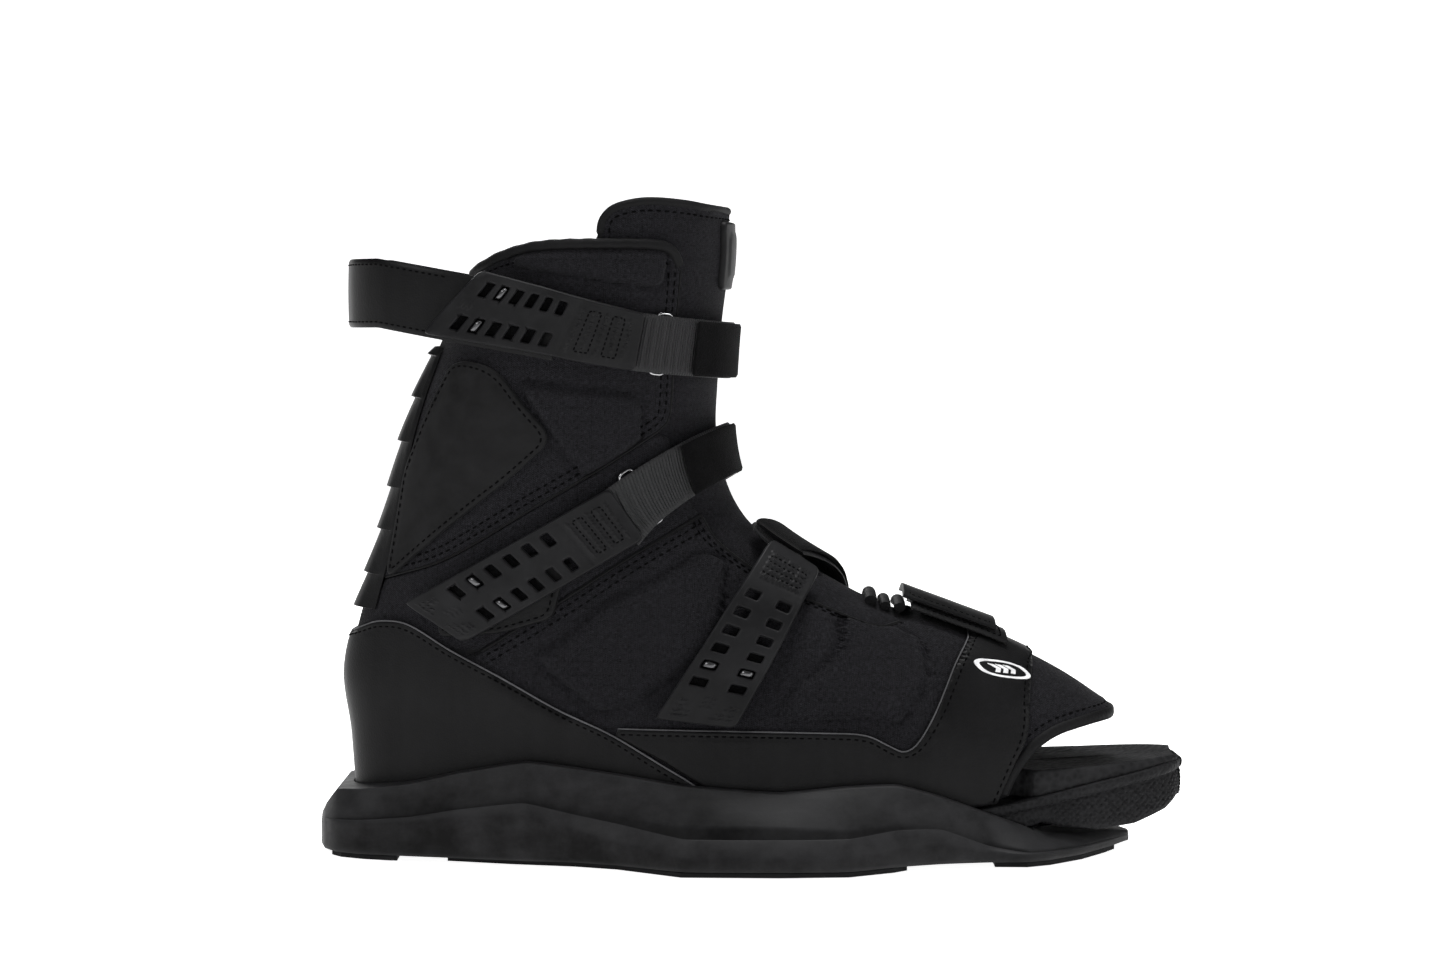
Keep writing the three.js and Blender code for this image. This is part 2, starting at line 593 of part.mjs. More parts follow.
function rearLoop() {
  const curve = loopCurve();
  const steps = 28;
  const rings = Array.from({ length: steps + 1 }, (_, i) => {
    const at = curve.getPoint(i / steps);
    const along = curve.getTangent(i / steps);
    const out = new THREE.Vector3(along.y, -along.x, 0).negate().multiplyScalar(LOOP_THICKNESS);
    const fall = LOOP_FALL * Math.max(at.x - LOOP_FALL_FROM, 0);
    const [low, high] = LOOP_HEIGHTS.map((z) => z - fall);
    return [[low, 0], [high, 0], [high, 1], [low, 1]].map(([z, side]) =>
      at.clone().addScaledVector(out, side).setZ(z));
  });
  return loft(rings);
}
add('rear_loop', rearLoop(), 'overlay');

// ---------------------------------------------------------------- straps
// Each strap: ladder corners (back top, front top, front low, back low), where its slot
// rows and its anchor run, the heights of the webbing's edges over the shin, the place
// of its ring on the medial side, and how far back the tail reaches along the webbing.
const STRAPS = [
  {
    name: 'top',
    ladder: [[-111, 221], [-51, 205.5], [-55, 184], [-133, 197.5]],
    ridesOnLoop: true,
    slotsFrom: 0.12,
    slotsTo: 0.56,
    anchor: [0.1, 0.5],
    front: [201.5, 180],
    ring: [-66, 194],
    tailEnd: 0.2,
  },
  {
    name: 'mid',
    ladder: [[-139, 95.5], [-64, 140], [-51, 120], [-117, 81.5]],
    slotsFrom: 0.2,
    slotsTo: 0.66,
    anchor: [0.05, 0.48],
    front: [163, 143],
    ring: [-70, 122],
    tailEnd: 0.2,
  },
  {
    name: 'low',
    ladder: [[-46, 54], [-5, 116.5], [14, 104.5], [-16, 50.5]],
    slotsFrom: 0.24,
    slotsTo: 0.74,
    anchor: [0.05, 0.5],
    front: [121.5, 108.5],
    ring: [-16, 78],
    tailEnd: 0.12,
  },
];
const LADDER_LIFT = 3.5;
const LADDER_THICKNESS = 2;
const SLOTS = 6;
const SLOT_SIZE = [2.9, 5.2];
const POST_RADIUS = 1.15;

// Where a ladder lies: on the boot's lateral side, except that the rear of the top one
// leaves the cuff and follows the outside of the rear loop.
function ladderPlace(strap) {
  const loop = loopCurve();
  const loopY = (x) => {
    let low = 0;
    let high = 0.5;
    for (let i = 0; i < 20; i++) {
      const t = (low + high) / 2;
      if (loop.getPoint(t).x > x) low = t;
      else high = t;
    }
    return loop.getPoint(low).y;
  };
  return (u, v, distance) => {
    const [x, z] = quadAt(strap.ladder, u, v);
    const point = onBoot(angleAt(x, z), z, distance);
    if (!strap.ridesOnLoop) return point;
    const blend = THREE.MathUtils.smoothstep(-x, 74, 90);
    const beside = new THREE.Vector3(x, loopY(Math.min(x, -84)) - LOOP_THICKNESS - distance + 1, z);
    return point.lerp(beside, blend);
  };
}

function slotPlaces(strap) {
  const rows = [0.24, 0.76];
  return rows.flatMap((v) => Array.from({ length: SLOTS }, (_, index) => ({
    u: mix(strap.slotsFrom, strap.slotsTo, index / (SLOTS - 1)), v, index,
  })));
}

function slotCutter(place, { u, v }) {
  const [width, height] = SLOT_SIZE;
  const cutter = new THREE.BoxGeometry(width, height, 9);
  cutter.applyMatrix4(seat(place, u, v, LADDER_LIFT + 1));
  return solidOf(cutter);
}

function makeLadder(strap) {
  const place = ladderPlace(strap);
  const body = solidOf(patch(place, () => LADDER_LIFT, LADDER_THICKNESS, 8, 2));
  return slotPlaces(strap).reduce((left, at) => left.subtract(slotCutter(place, at)), body);
}

// Plate under the ladder that carries the two posts.
function makeAnchor(strap) {
  const whole = ladderPlace(strap);
  const place = (u, v, distance) => whole(mix(...strap.anchor, u), mix(0.08, 0.92, v), distance);
  const low = OVERLAY[1] + GAP + 0.1;
  return patch(place, () => low, LADDER_LIFT - low - GAP - 0.25, 4, 2);
}

function ladderPost(place, { u, v }) {
  const profile = [[0, 0.15], [POST_RADIUS, 0.15], [POST_RADIUS, 4.4], [0, 4.4]];
  const pin = new THREE.LatheGeometry(profile.map(([r, h]) => new THREE.Vector2(r, h)), 8);
  pin.rotateX(Math.PI / 2);
  pin.applyMatrix4(seat(place, u, v, LADDER_LIFT - GAP + 0.1));
  return pin;
}

// Edges of the webbing over the shin, from the ladder round the front to the medial side.
function webbingPlace(strap) {
  const [, frontTop, frontLow] = strap.ladder;
  const [ringX, ringZ] = strap.ring;
  const slant = [(frontTop[0] - frontLow[0]) / 2, (frontTop[1] - frontLow[1]) / 2];
  const start = [angleAt(...frontTop), frontTop[1], angleAt(...frontLow), frontLow[1]];
  const middle = [Math.PI, strap.front[0], Math.PI, strap.front[1]];
  const end = [
    angleAt(ringX + slant[0], ringZ + slant[1], -1), ringZ + slant[1],
    angleAt(ringX - slant[0], ringZ - slant[1], -1), ringZ - slant[1],
  ];
  return onLast((u, v) => {
    const weights = [(1 - u) * (1 - 2 * u), 4 * u * (1 - u), u * (2 * u - 1)];
    const row = start.map((value, i) => weights[0] * value + weights[1] * middle[i] + weights[2] * end[i]);
    return [mix(row[2], row[0], v), mix(row[3], row[1], v)];
  });
}

const WEBBING_FROM = 0.045;
const WEBBING_TO = 0.985;
const RING_BAR = 2.4;
const RING_INNER = [WEBBING_WIDTH + 3, 11];

function webbingLift(u) {
  return mix(LADDER_LIFT, 0.6, THREE.MathUtils.smoothstep(u, 0, 0.26));
}

function makeWebbing(strap) {
  const whole = webbingPlace(strap);
  const along = (u) => mix(WEBBING_FROM, WEBBING_TO, u);
  const place = (u, v, distance) => whole(along(u), v, distance);
  return patch(place, (u) => webbingLift(along(u)), WEBBING_THICKNESS, 16, 1);
}

// The ring's frame: x points along the strap towards the front, z out.
function ringSeat(strap) {
  const lift = webbingLift(1) + WEBBING_THICKNESS + GAP + 0.3;
  return seat(webbingPlace(strap), 1, 0.5, lift, -0.05);
}

function frameGeometry(along, across, bar, thickness) {
  const box = (a, b) => new THREE.Shape([[-a, -b], [a, -b], [a, b], [-a, b]]
    .map(([x, y]) => new THREE.Vector2(x / 2, y / 2)));
  const outline = box(along + 2 * bar, across + 2 * bar);
  outline.holes.push(box(along, across));
  return new THREE.ExtrudeGeometry(outline, { depth: thickness, bevelEnabled: false });
}

function makeRing(strap) {
  const [across, along] = RING_INNER;
  const ring = frameGeometry(along, across, RING_BAR, RING_BAR);
  ring.applyMatrix4(ringSeat(strap));
  return solidOf(ring);
}

// Webbing sewn to the boot, hooked round the ring's rear bar.
function ringTab(strap) {
  const bar = -(RING_INNER[1] / 2 + RING_BAR / 2);
  const half = RING_BAR * 0.71 + 0.45;
  const outer = half + 1.1;
  const middle = RING_BAR / 2;
  const tail = -26;
  const opening = Math.PI * 0.86;
  const shape = new THREE.Shape();
  shape.moveTo(tail, middle - outer);
  shape.lineTo(bar, middle - outer);
  shape.absarc(bar, middle, outer, -Math.PI / 2, opening, false);
  shape.absarc(bar, middle, half, opening, -Math.PI / 2, true);
  shape.lineTo(tail, middle - half);
  const tab = new THREE.ExtrudeGeometry(shape, {
    depth: WEBBING_WIDTH, bevelEnabled: false, curveSegments: 7,
  });
  tab.rotateX(Math.PI / 2);
  tab.translate(0, WEBBING_WIDTH / 2, 0);
  tab.applyMatrix4(ringSeat(strap));
  return tab;
}

// Hook-and-loop tail: over the ring's front bar, then back over the shin on the webbing.
function makeTail(strap) {
  const whole = webbingPlace(strap);
  const along = (u) => mix(WEBBING_TO, strap.tailEnd, u);
  const place = (u, v, distance) => whole(along(u), mix(0.02, 0.98, v), distance);
  const over = webbingLift(1) + WEBBING_THICKNESS + RING_BAR + 2 * GAP + 1.3;
  const lying = WEBBING_THICKNESS + GAP + 0.5;
  const lift = (u) => mix(over, webbingLift(along(u)) + lying, THREE.MathUtils.smoothstep(u, 0.1, 0.32));
  return patch(place, lift, WEBBING_THICKNESS, 14, 1);
}

// Flat wire loop that keeps the webbing in line, between the cuff and the webbing.
const KEEPERS = { top: [0.085, 1.2], mid: [0.065, 1.7] };
function keeper(strap) {
  const wire = 1.3;
  const loop = frameGeometry(6.5, WEBBING_WIDTH + 2.2, wire, 1.1);
  const [along, lift] = KEEPERS[strap.name];
  loop.applyMatrix4(seat(webbingPlace(strap), along, 0.5, SHELL[1] + lift));
  return loop;
}

for (const strap of STRAPS) {
  const place = ladderPlace(strap);
  add(`ladder_${strap.name}`, makeLadder(strap), 'ladder');
  add(`anchor_${strap.name}`, solidOf(makeAnchor(strap)), 'overlay');
  slotPlaces(strap).filter(({ index }) => index === 1).forEach((at, i) =>
    add(`post_${strap.name}_${i + 1}`, solidOf(ladderPost(place, at)), 'steel'));
  add(`webbing_${strap.name}`, solidOf(makeWebbing(strap)), 'webbing');
  add(`ring_${strap.name}`, makeRing(strap), 'steel');
  add(`ring_tab_${strap.name}`, solidOf(ringTab(strap)), 'webbing');
  add(`tail_${strap.name}`, solidOf(makeTail(strap)), 'hook');
  if (strap.name in KEEPERS) add(`keeper_${strap.name}`, solidOf(keeper(strap)), 'steel');
}

export default boot;
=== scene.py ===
import math

import bpy
import numpy as np
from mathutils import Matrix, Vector, kdtree
from mathutils.geometry import delaunay_2d_cdt


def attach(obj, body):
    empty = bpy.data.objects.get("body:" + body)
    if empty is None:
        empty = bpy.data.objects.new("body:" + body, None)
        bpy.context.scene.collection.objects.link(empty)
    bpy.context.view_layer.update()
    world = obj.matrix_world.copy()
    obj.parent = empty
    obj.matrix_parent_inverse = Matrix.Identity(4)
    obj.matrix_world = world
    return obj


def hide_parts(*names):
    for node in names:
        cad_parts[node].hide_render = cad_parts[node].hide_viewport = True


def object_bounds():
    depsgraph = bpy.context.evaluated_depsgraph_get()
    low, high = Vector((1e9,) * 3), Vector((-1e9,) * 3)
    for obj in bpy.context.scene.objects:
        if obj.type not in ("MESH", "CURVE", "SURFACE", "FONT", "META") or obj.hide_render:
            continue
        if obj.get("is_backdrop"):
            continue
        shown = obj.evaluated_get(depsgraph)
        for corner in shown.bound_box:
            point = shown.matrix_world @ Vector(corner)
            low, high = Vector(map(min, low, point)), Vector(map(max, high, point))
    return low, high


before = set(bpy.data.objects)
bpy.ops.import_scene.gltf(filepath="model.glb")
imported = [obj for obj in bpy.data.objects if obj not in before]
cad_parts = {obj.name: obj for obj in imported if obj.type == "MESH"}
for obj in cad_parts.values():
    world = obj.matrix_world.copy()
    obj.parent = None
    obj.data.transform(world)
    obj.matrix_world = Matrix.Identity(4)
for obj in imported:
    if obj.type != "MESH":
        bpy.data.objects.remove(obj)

CAD_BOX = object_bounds()
# Millimetres are used for all shapes; mesh() turns them into metres.
MM = 0.001
UV_SCALE = 0.01          # one UV unit is 100 mm of cloth

# ---------------------------------------------------------------- the last, as in the CAD
HEEL_LINE = [[10, -160], [45, -162.5], [68, -165.5], [90, -161], [123, -151],
             [160, -142], [190, -131], [226, -114.5], [250, -104]]
SHIN_LINE = [[10, 126], [40, 135], [54, 129.6], [60, 122], [69, 108], [79, 88],
             [87, 67], [98, 38], [108, 19], [118, 3], [128, -9], [142, -16.5],
             [160, -20], [178, -19.5], [200, -18], [226, -15], [250, -15]]
HALF_WIDTH = [[10, 48], [30, 50], [60, 48.5], [80, 45.5], [100, 42], [125, 40],
              [160, 42], [190, 45], [226, 48], [250, 49]]
SQUARENESS = [[10, 0.60], [40, 0.64], [70, 0.76], [105, 0.92], [160, 0.92], [250, 0.86]]
HEEL_TAPER = [[10, 0.2], [60, 0.16], [115, 0], [250, 0]]
TURN = 60.0              # flat layout: millimetres for each radian round the last

# Distances from the last: underside and outside of each layer.
PAD = (-9.4, -5.9)
TONGUE_SKIN = (-5.4, -3.4)
LINER = (-8.0, -3.4)
SHELL = (-2.7, -0.6)
OVERLAY = (-0.3, 1.35)


def value_at(pairs, at):
    knots = np.array([p[0] for p in pairs], float)
    values = np.array([p[1] for p in pairs], float)
    at = np.asarray(at, float)
    i = np.clip(np.searchsorted(knots, at, side="left") - 1, 0, len(knots) - 2)
    before = np.maximum(i - 1, 0)
    after = np.minimum(i + 2, len(knots) - 1)
    span = knots[i + 1] - knots[i]
    t = np.clip((at - knots[i]) / span, 0, 1)
    a, b = values[i], values[i + 1]
    chord = (b - a) / span
    slope_a = np.where(i > 0, (b - values[before]) / (knots[i + 1] - knots[before]), chord)
    slope_b = np.where(i < len(knots) - 2, (values[after] - a) / (knots[after] - knots[i]), chord)
    cubic = a * (2 * t**3 - 3 * t**2 + 1) + b * (3 * t**2 - 2 * t**3)
    return cubic + span * (slope_a * (t**3 - 2 * t**2 + t) + slope_b * (t**3 - t**2))


def last_point(phi, z):
    s = (1 - np.cos(phi)) / 2
    heel, front = value_at(HEEL_LINE, z), value_at(SHIN_LINE, z)
    taper = 1 - value_at(HEEL_TAPER, z) * (1 - s) ** 1.5
    sine = np.sin(phi)
    across = np.sign(sine) * np.abs(sine) ** value_at(SQUARENESS, z)
    y = -value_at(HALF_WIDTH, z) * taper * across
    return np.stack(np.broadcast_arrays(heel + s * (front - heel), y, z), axis=-1).astype(float)


def unit(vectors):
    return vectors / np.maximum(np.linalg.norm(vectors, axis=-1, keepdims=True), 1e-9)


def last_normal(phi, z):
    turn = last_point(phi + 0.02, z) - last_point(phi - 0.02, z)
    rise = last_point(phi, z + 1) - last_point(phi, z - 1)
    return unit(np.cross(turn, rise))


def on_boot(flat, distance):
    """Points of the flat layout (turn, height), laid on the last at a distance."""
    phi, z = flat[:, 0] / TURN, flat[:, 1]
    return last_point(phi, z) + last_normal(phi, z) * np.reshape(distance, (-1, 1))


def angle_at(x, z, side=1):
    heel, front = value_at(HEEL_LINE, z), value_at(SHIN_LINE, z)
    s = np.clip((x - heel) / (front - heel), 0.0005, 0.9995)
    phi = np.arccos(1 - 2 * s)
    return phi if side > 0 else 2 * math.pi - phi


# ---------------------------------------------------------------- lines in the flat layout
def curved(points, step=2.0):
    """Smooth line through the points, sampled evenly."""
    points = np.array(points, float)
    spans = np.linalg.norm(np.diff(points, axis=0), axis=1)
    knots = np.concatenate([[0], np.cumsum(spans)])
    at = np.linspace(0, knots[-1], max(int(math.ceil(knots[-1] / step)), 1) + 1)
    columns = [value_at(list(zip(knots, points[:, k])), at) for k in range(points.shape[1])]
    return np.stack(columns, axis=1)


def straight(points, step=2.0):
    """Line with sharp corners at the points."""
    runs = [curved([a, b], step)[:-1] for a, b in zip(points[:-1], points[1:])]
    return np.concatenate([*runs, [points[-1]]])


def rounded(points, radius, closed=True, steps=4):
    """Polygon whose corners are rounded."""
    points = np.array(points, float)
    out = []
    for i, corner in enumerate(points):
        if not closed and i in (0, len(points) - 1):
            out.append(corner)
            continue
        before, after = points[i - 1] - corner, points[(i + 1) % len(points)] - corner
        reach = min(radius, 0.45 * np.linalg.norm(before), 0.45 * np.linalg.norm(after))
        start, end = corner + unit(before) * reach, corner + unit(after) * reach
        for t in np.linspace(0, 1, steps + 1):
            out.append((1 - t) ** 2 * start + 2 * t * (1 - t) * corner + t**2 * end)
    return np.array(out)


def closed_line(points, step=2.0):
    points = np.array(points, float)
    return straight([*points, points[0]], step)[:-1]


def laid(side_view):
    """Side-view line (x, z) laid out flat on the lateral side of the boot."""
    side_view = np.array(side_view, float)
    phi = angle_at(side_view[:, 0], side_view[:, 1])
    return np.stack([phi * TURN, side_view[:, 1]], axis=1)


def mirrored(flat, behind=False):
    """The same flat line on the other side, run backwards."""
    turn = -flat[::-1, 0] if behind else 2 * math.pi * TURN - flat[::-1, 0]
    return np.stack([turn, flat[::-1, 1]], axis=1)


def inside(points, loop):
    x, y = points[:, 0], points[:, 1]
    result = np.zeros(len(points), bool)
    x0, y0 = loop[-1]
    for x1, y1 in loop:
        if y0 != y1:
            crosses = (y0 > y) != (y1 > y)
            result ^= crosses & (x < x0 + (y - y0) * (x1 - x0) / (y1 - y0))
        x0, y0 = x1, y1
    return result


def distance_to(points, line):
    tree = kdtree.KDTree(len(line))
    for i, p in enumerate(line):
        tree.insert(p, i)
    tree.balance()
    return np.array([tree.find(p)[2] for p in points])


def scales(flat, place):
    """How many real millimetres one millimetre of the layout is, each way."""
    right, left = flat + [0.4, 0], flat - [0.4, 0]
    up, down = flat + [0, 0.4], flat - [0, 0.4]
    along = np.linalg.norm(place(right, 0) - place(left, 0), axis=1) / 0.8
    rise = np.linalg.norm(place(up, 0) - place(down, 0), axis=1) / 0.8
    return np.maximum(np.stack([along, rise], axis=1), 0.05)


def shifted(line, place, by, closed=False):
    """Line moved sideways over the surface by a real distance, to its left."""
    scale = scales(line, place)
    if closed:
        step = (np.roll(line, -1, axis=0) - np.roll(line, 1, axis=0)) * scale
    else:
        step = np.gradient(line, axis=0) * scale
    left = unit(np.stack([-step[:, 1], step[:, 0]], axis=1))
    return line + by * left / scale


def turns_left(loop):
    x, y = loop[:, 0], loop[:, 1]
    return np.sum(x * np.roll(y, -1) - np.roll(x, -1) * y) > 0


def smooth(t):
    t = np.clip(t, 0, 1)
    return t * t * (3 - 2 * t)


def lengths(line):
    """Distance from the line's start to each of its points."""
    return np.concatenate([[0], np.cumsum(np.linalg.norm(np.diff(line, axis=0), axis=1))])


def rectangle(left, right, low, high):
    return [[left, low], [right, low], [right, high], [left, high]]


# ---------------------------------------------------------------- meshes
def mesh(name, points, faces, look, uv=None, sharp=40):
    data = bpy.data.meshes.new(name)
    data.from_pydata((np.asarray(points) * MM).tolist(), [], faces)
    data.validate()
    if uv is not None:
        layer = data.uv_layers.new(name="cloth")
        corners = np.zeros(len(data.loops), np.int32)
        data.loops.foreach_get("vertex_index", corners)
        layer.data.foreach_set("uv", (uv[corners] * UV_SCALE).astype(np.float32).ravel())
    data.shade_smooth()
    data.set_sharp_from_angle(angle=math.radians(sharp))
    piece = bpy.data.objects.new(name, data)
    bpy.context.scene.collection.objects.link(piece)
    data.materials.append(look)
    return piece


def arc_layout(flat):
    """Flat layout in real millimetres round the boot, measured from the side's middle."""
    steps = 24
    phi = flat[:, 0] / TURN
    middle = np.where(phi > math.pi, 1.5 * math.pi, math.pi / 2)
    middle = np.where(phi < 0, -math.pi / 2, middle)
    total = np.zeros(len(flat))
    before = last_point(middle, flat[:, 1])
    for i in range(1, steps + 1):
        here = last_point(middle + (phi - middle) * i / steps, flat[:, 1])
        total += np.linalg.norm((here - before)[:, :2], axis=1)
        before = here
    side = last_point(middle, flat[:, 1])[:, 0]
    return np.stack([np.sign(phi - middle) * total * np.where(middle > math.pi, -1, 1) + side,
                     flat[:, 1]], axis=1)


def triangulate(loops, fill):
    points = [Vector(p) for loop in loops for p in loop] + [Vector(p) for p in fill]
    edges, start = [], 0
    for loop in loops:
        edges += [(start + i, start + (i + 1) % len(loop)) for i in range(len(loop))]
        start += len(loop)
    found = delaunay_2d_cdt(points, edges, [], 1, 1e-5)
    flat = np.array([p[:] for p in found[0]])
    faces = np.array([f[:] for f in found[2]])
    for hole in loops[1:]:
        faces = faces[~inside(flat[faces].mean(axis=1), hole)]
    return flat, faces


def panel(name, loops, thickness, step, look, place=on_boot, soft=1.2, edge=0.35,
          reliefs=(), dents=(), layout=arc_layout, fine=()):
    """Sewn or moulded panel: a flat outline (and holes) laid on a surface, with a rounded
    edge, raised reliefs (loop, rise, ramp) and pressed dents (line, depth, width)."""
    low, high = thickness
    loops = [np.asarray(loop, float) for loop in loops]
    border = np.concatenate([place(closed_line(loop, 0.5), 0) for loop in loops])
    rings = []
    for index, loop in enumerate(loops):
        inward = 1 if turns_left(loop) else -1
        inward = inward if index == 0 else -inward
        for reach in (0.3 * soft, 0.8 * soft, 1.5 * soft):
            ring = shifted(loop, place, inward * reach, closed=True)
            far = distance_to(place(ring, 0), border) > 0.85 * reach
            rings.append(ring[far])
    low_corner, high_corner = loops[0].min(axis=0), loops[0].max(axis=0)
    across = np.arange(low_corner[0], high_corner[0], step[0])
    rows = []
    for k, z in enumerate(np.arange(low_corner[1], high_corner[1], step[1])):
        rows.append(np.stack([across + (k % 2) * step[0] / 2, np.full(len(across), z)], axis=1))
    grid = np.concatenate(rows)
    keep = inside(grid, loops[0])
    for hole in loops[1:]:
        keep &= ~inside(grid, hole)
    grid = grid[keep]
    grid = grid[distance_to(place(grid, 0), border) > 2.0 * soft]
    flat, faces = triangulate(loops, np.concatenate([*rings, grid, *fine]))
    solid = place(flat, 0)
    edge_distance = distance_to(solid, border)
    t = np.clip(edge_distance / soft, 0, 1)
    height = low + (high - low) * (edge + (1 - edge) * np.sqrt(1 - (1 - t) ** 2))
    for loop, rise, ramp in reliefs:
        within = inside(flat, loop)
        reach = np.zeros(len(flat))
        reach[within] = distance_to(solid[within], place(closed_line(loop, 0.6), 0))
        height = height + rise * smooth(reach / ramp) * smooth(edge_distance / 3)
    for line, depth, width in dents:
        near = distance_to(solid, place(straight(list(line), 0.6), 0))
        height = height - depth * np.exp(-((near / width) ** 2))
    top, under = place(flat, height), place(flat, low)
    count = len(flat)
    sides = {}
    for f in faces:
        for a, b in zip(f, np.roll(f, -1)):
            if (b, a) in sides:
                del sides[(b, a)]
            else:
                sides[(a, b)] = True
    all_faces = faces.tolist() + (faces[:, ::-1] + count).tolist()
    all_faces += [[int(b), int(a), int(a) + count, int(b) + count] for a, b in sides]
    uv = layout(flat)
    piece = mesh(name, np.concatenate([top, under]), all_faces, look,
                 np.concatenate([uv, uv]), sharp=60)
    outwards(piece)
    return piece


def outwards(piece):
    """Turns the faces of a closed mesh outwards."""
    data = piece.data
    points = np.zeros(len(data.vertices) * 3)
    data.vertices.foreach_get("co", points)
    points = points.reshape(-1, 3)
    data.calc_loop_triangles()
    tris = np.zeros(len(data.loop_triangles) * 3, np.int32)
    data.loop_triangles.foreach_get("vertices", tris)
    a, b, c = (points[tris.reshape(-1, 3)[:, k]] for k in range(3))
    if np.sum(a * np.cross(b, c)) < 0:
        data.flip_normals()


def grid_faces(rows, columns):
    faces = []
    for r in range(rows - 1):
        for c in range(columns):
            d = (c + 1) % columns
            faces.append([r * columns + c, r * columns + d, (r + 1) * columns + d, (r + 1) * columns + c])
    return faces


def end_caps(rows, columns):
    last = (rows - 1) * columns
    return [list(range(columns))[::-1], [last + c for c in range(columns)]]


def tube(name, route, radius, look, sides=10, closed=False, flat=1.0, up=(0, 0, 1)):
    """Round or flattened bar along a route of points."""
    route = np.asarray(route, float)
    if closed:
        along = unit(np.roll(route, -1, axis=0) - np.roll(route, 1, axis=0))
    else:
        along = unit(np.gradient(route, axis=0))
    guide = np.broadcast_to(np.asarray(up, float), along.shape)
    out = unit(np.cross(along, guide))
    rise = np.cross(out, along)
    t = np.linspace(0, 2 * math.pi, sides, endpoint=False)
    cos, sin = np.cos(t)[None, :, None], np.sin(t)[None, :, None]
    ring = radius * (cos * out[:, None] + flat * sin * rise[:, None])
    points = (route[:, None] + ring).reshape(-1, 3)
    faces = grid_faces(len(route), sides)
    if closed:
        last = (len(route) - 1) * sides
        faces += [[last + c, last + (c + 1) % sides, (c + 1) % sides, c] for c in range(sides)]
    else:
        faces += end_caps(len(route), sides)
    length = lengths(route)
    u, v = np.meshgrid(length, t * radius, indexing="ij")
    piece = mesh(name, points, faces, look, np.stack([u.ravel(), v.ravel()], axis=1))
    outwards(piece)
    return piece


def ribbon(name, place, lift, thickness, size, look, steps, ribs=0.0, rib_pitch=1.2,
           bulge=0.0):
    """Woven strap: place(u, v, distance) gives its points; its edges are rounded and
    its face can have cross ribs."""
    length, width = size
    rows, columns = steps
    u = np.linspace(0, 1, rows)
    v = np.linspace(0, 1, columns)
    uu, vv = np.meshgrid(u, v, indexing="ij")
    from_edge = np.minimum(vv, 1 - vv) * width
    edge = np.clip(from_edge / (thickness / 2), 0, 1)
    roundness = np.sqrt(edge * (2 - edge))
    ends = np.minimum(uu, 1 - uu) * length
    wave = ribs * np.cos(2 * math.pi * uu * length / rib_pitch) * smooth(from_edge / 1.5) * smooth(ends / 1.0)
    crown = bulge * (1 - (2 * vv - 1) ** 2)
    base = np.asarray(lift(uu), float) + crown
    half = thickness / 2 * np.maximum(roundness, 0.12)
    above = place(uu.ravel(), vv.ravel(), (base + thickness / 2 + half + wave).ravel())
    below = place(uu.ravel(), vv.ravel(), (base + thickness / 2 - half).ravel())
    above, below = above.reshape(rows, columns, 3), below.reshape(rows, columns, 3)
    rings = np.concatenate([above, below[:, ::-1]], axis=1)
    faces = grid_faces(rows, 2 * columns) + end_caps(rows, 2 * columns)
    flat_u = np.concatenate([uu, uu[:, ::-1]], axis=1) * length
    flat_v = np.concatenate([vv, vv[:, ::-1]], axis=1) * width
    piece = mesh(name, rings.reshape(-1, 3), faces, look,
                 np.stack([flat_u.ravel(), flat_v.ravel()], axis=1), sharp=50)
    outwards(piece)
    return piece


def sampled(route, pitch):
    spans = np.linalg.norm(np.diff(route, axis=0), axis=1)
    knots = np.concatenate([[0], np.cumsum(spans)])
    count = max(int(knots[-1] / pitch), 1)
    return (np.arange(count) + 0.5) * knots[-1] / count, knots


THREADS = {}


def stitch(group, route, normals, pitch=3.2, length=2.3, radius=0.36):
    """Row of sewn stitches along a route, sunk at their ends."""
    at, knots = sampled(route, pitch)
    ends = [np.stack([np.interp(at + d, knots, route[:, k]) for k in range(3)], axis=1)
            for d in (-length / 2, length / 2)]
    centre = (ends[0] + ends[1]) / 2
    out = unit(np.stack([np.interp(at, knots, normals[:, k]) for k in range(3)], axis=1))
    along = unit(ends[1] - ends[0])
    out = unit(out - along * np.sum(out * along, axis=1, keepdims=True))
    across = np.cross(along, out)
    reach = length / 2
    shape = [(-reach, 0.35, -0.3), (-0.55 * reach, 1, 0.02), (0.55 * reach, 1, 0.02), (reach, 0.35, -0.3)]
    sides = 6
    t = np.linspace(0, 2 * math.pi, sides, endpoint=False)
    rings = []
    for shift, share, rise in shape:
        middle = centre + along * shift + out * rise
        ring = np.cos(t)[None, :, None] * across[:, None] + np.sin(t)[None, :, None] * out[:, None]
        rings.append(middle[:, None] + radius * share * ring)
    points = np.stack(rings, axis=1).reshape(len(at), -1, 3)
    one = grid_faces(len(shape), sides) + end_caps(len(shape), sides)
    base = THREADS.setdefault(group, {"points": [], "faces": [], "count": 0})
    per = len(shape) * sides
    for k in range(len(at)):
        start = base["count"] + k * per
        base["faces"] += [[start + i for i in f] for f in one]
    base["points"].append(points.reshape(-1, 3))
    base["count"] += len(at) * per


def stitch_flat(group, line, height, place=on_boot, **how):
    fine = straight(list(line), 1.0)
    route = place(fine, np.full(len(fine), height))
    normals = unit(place(fine, np.full(len(fine), height + 1.0)) - route)
    stitch(group, route, normals, **how)


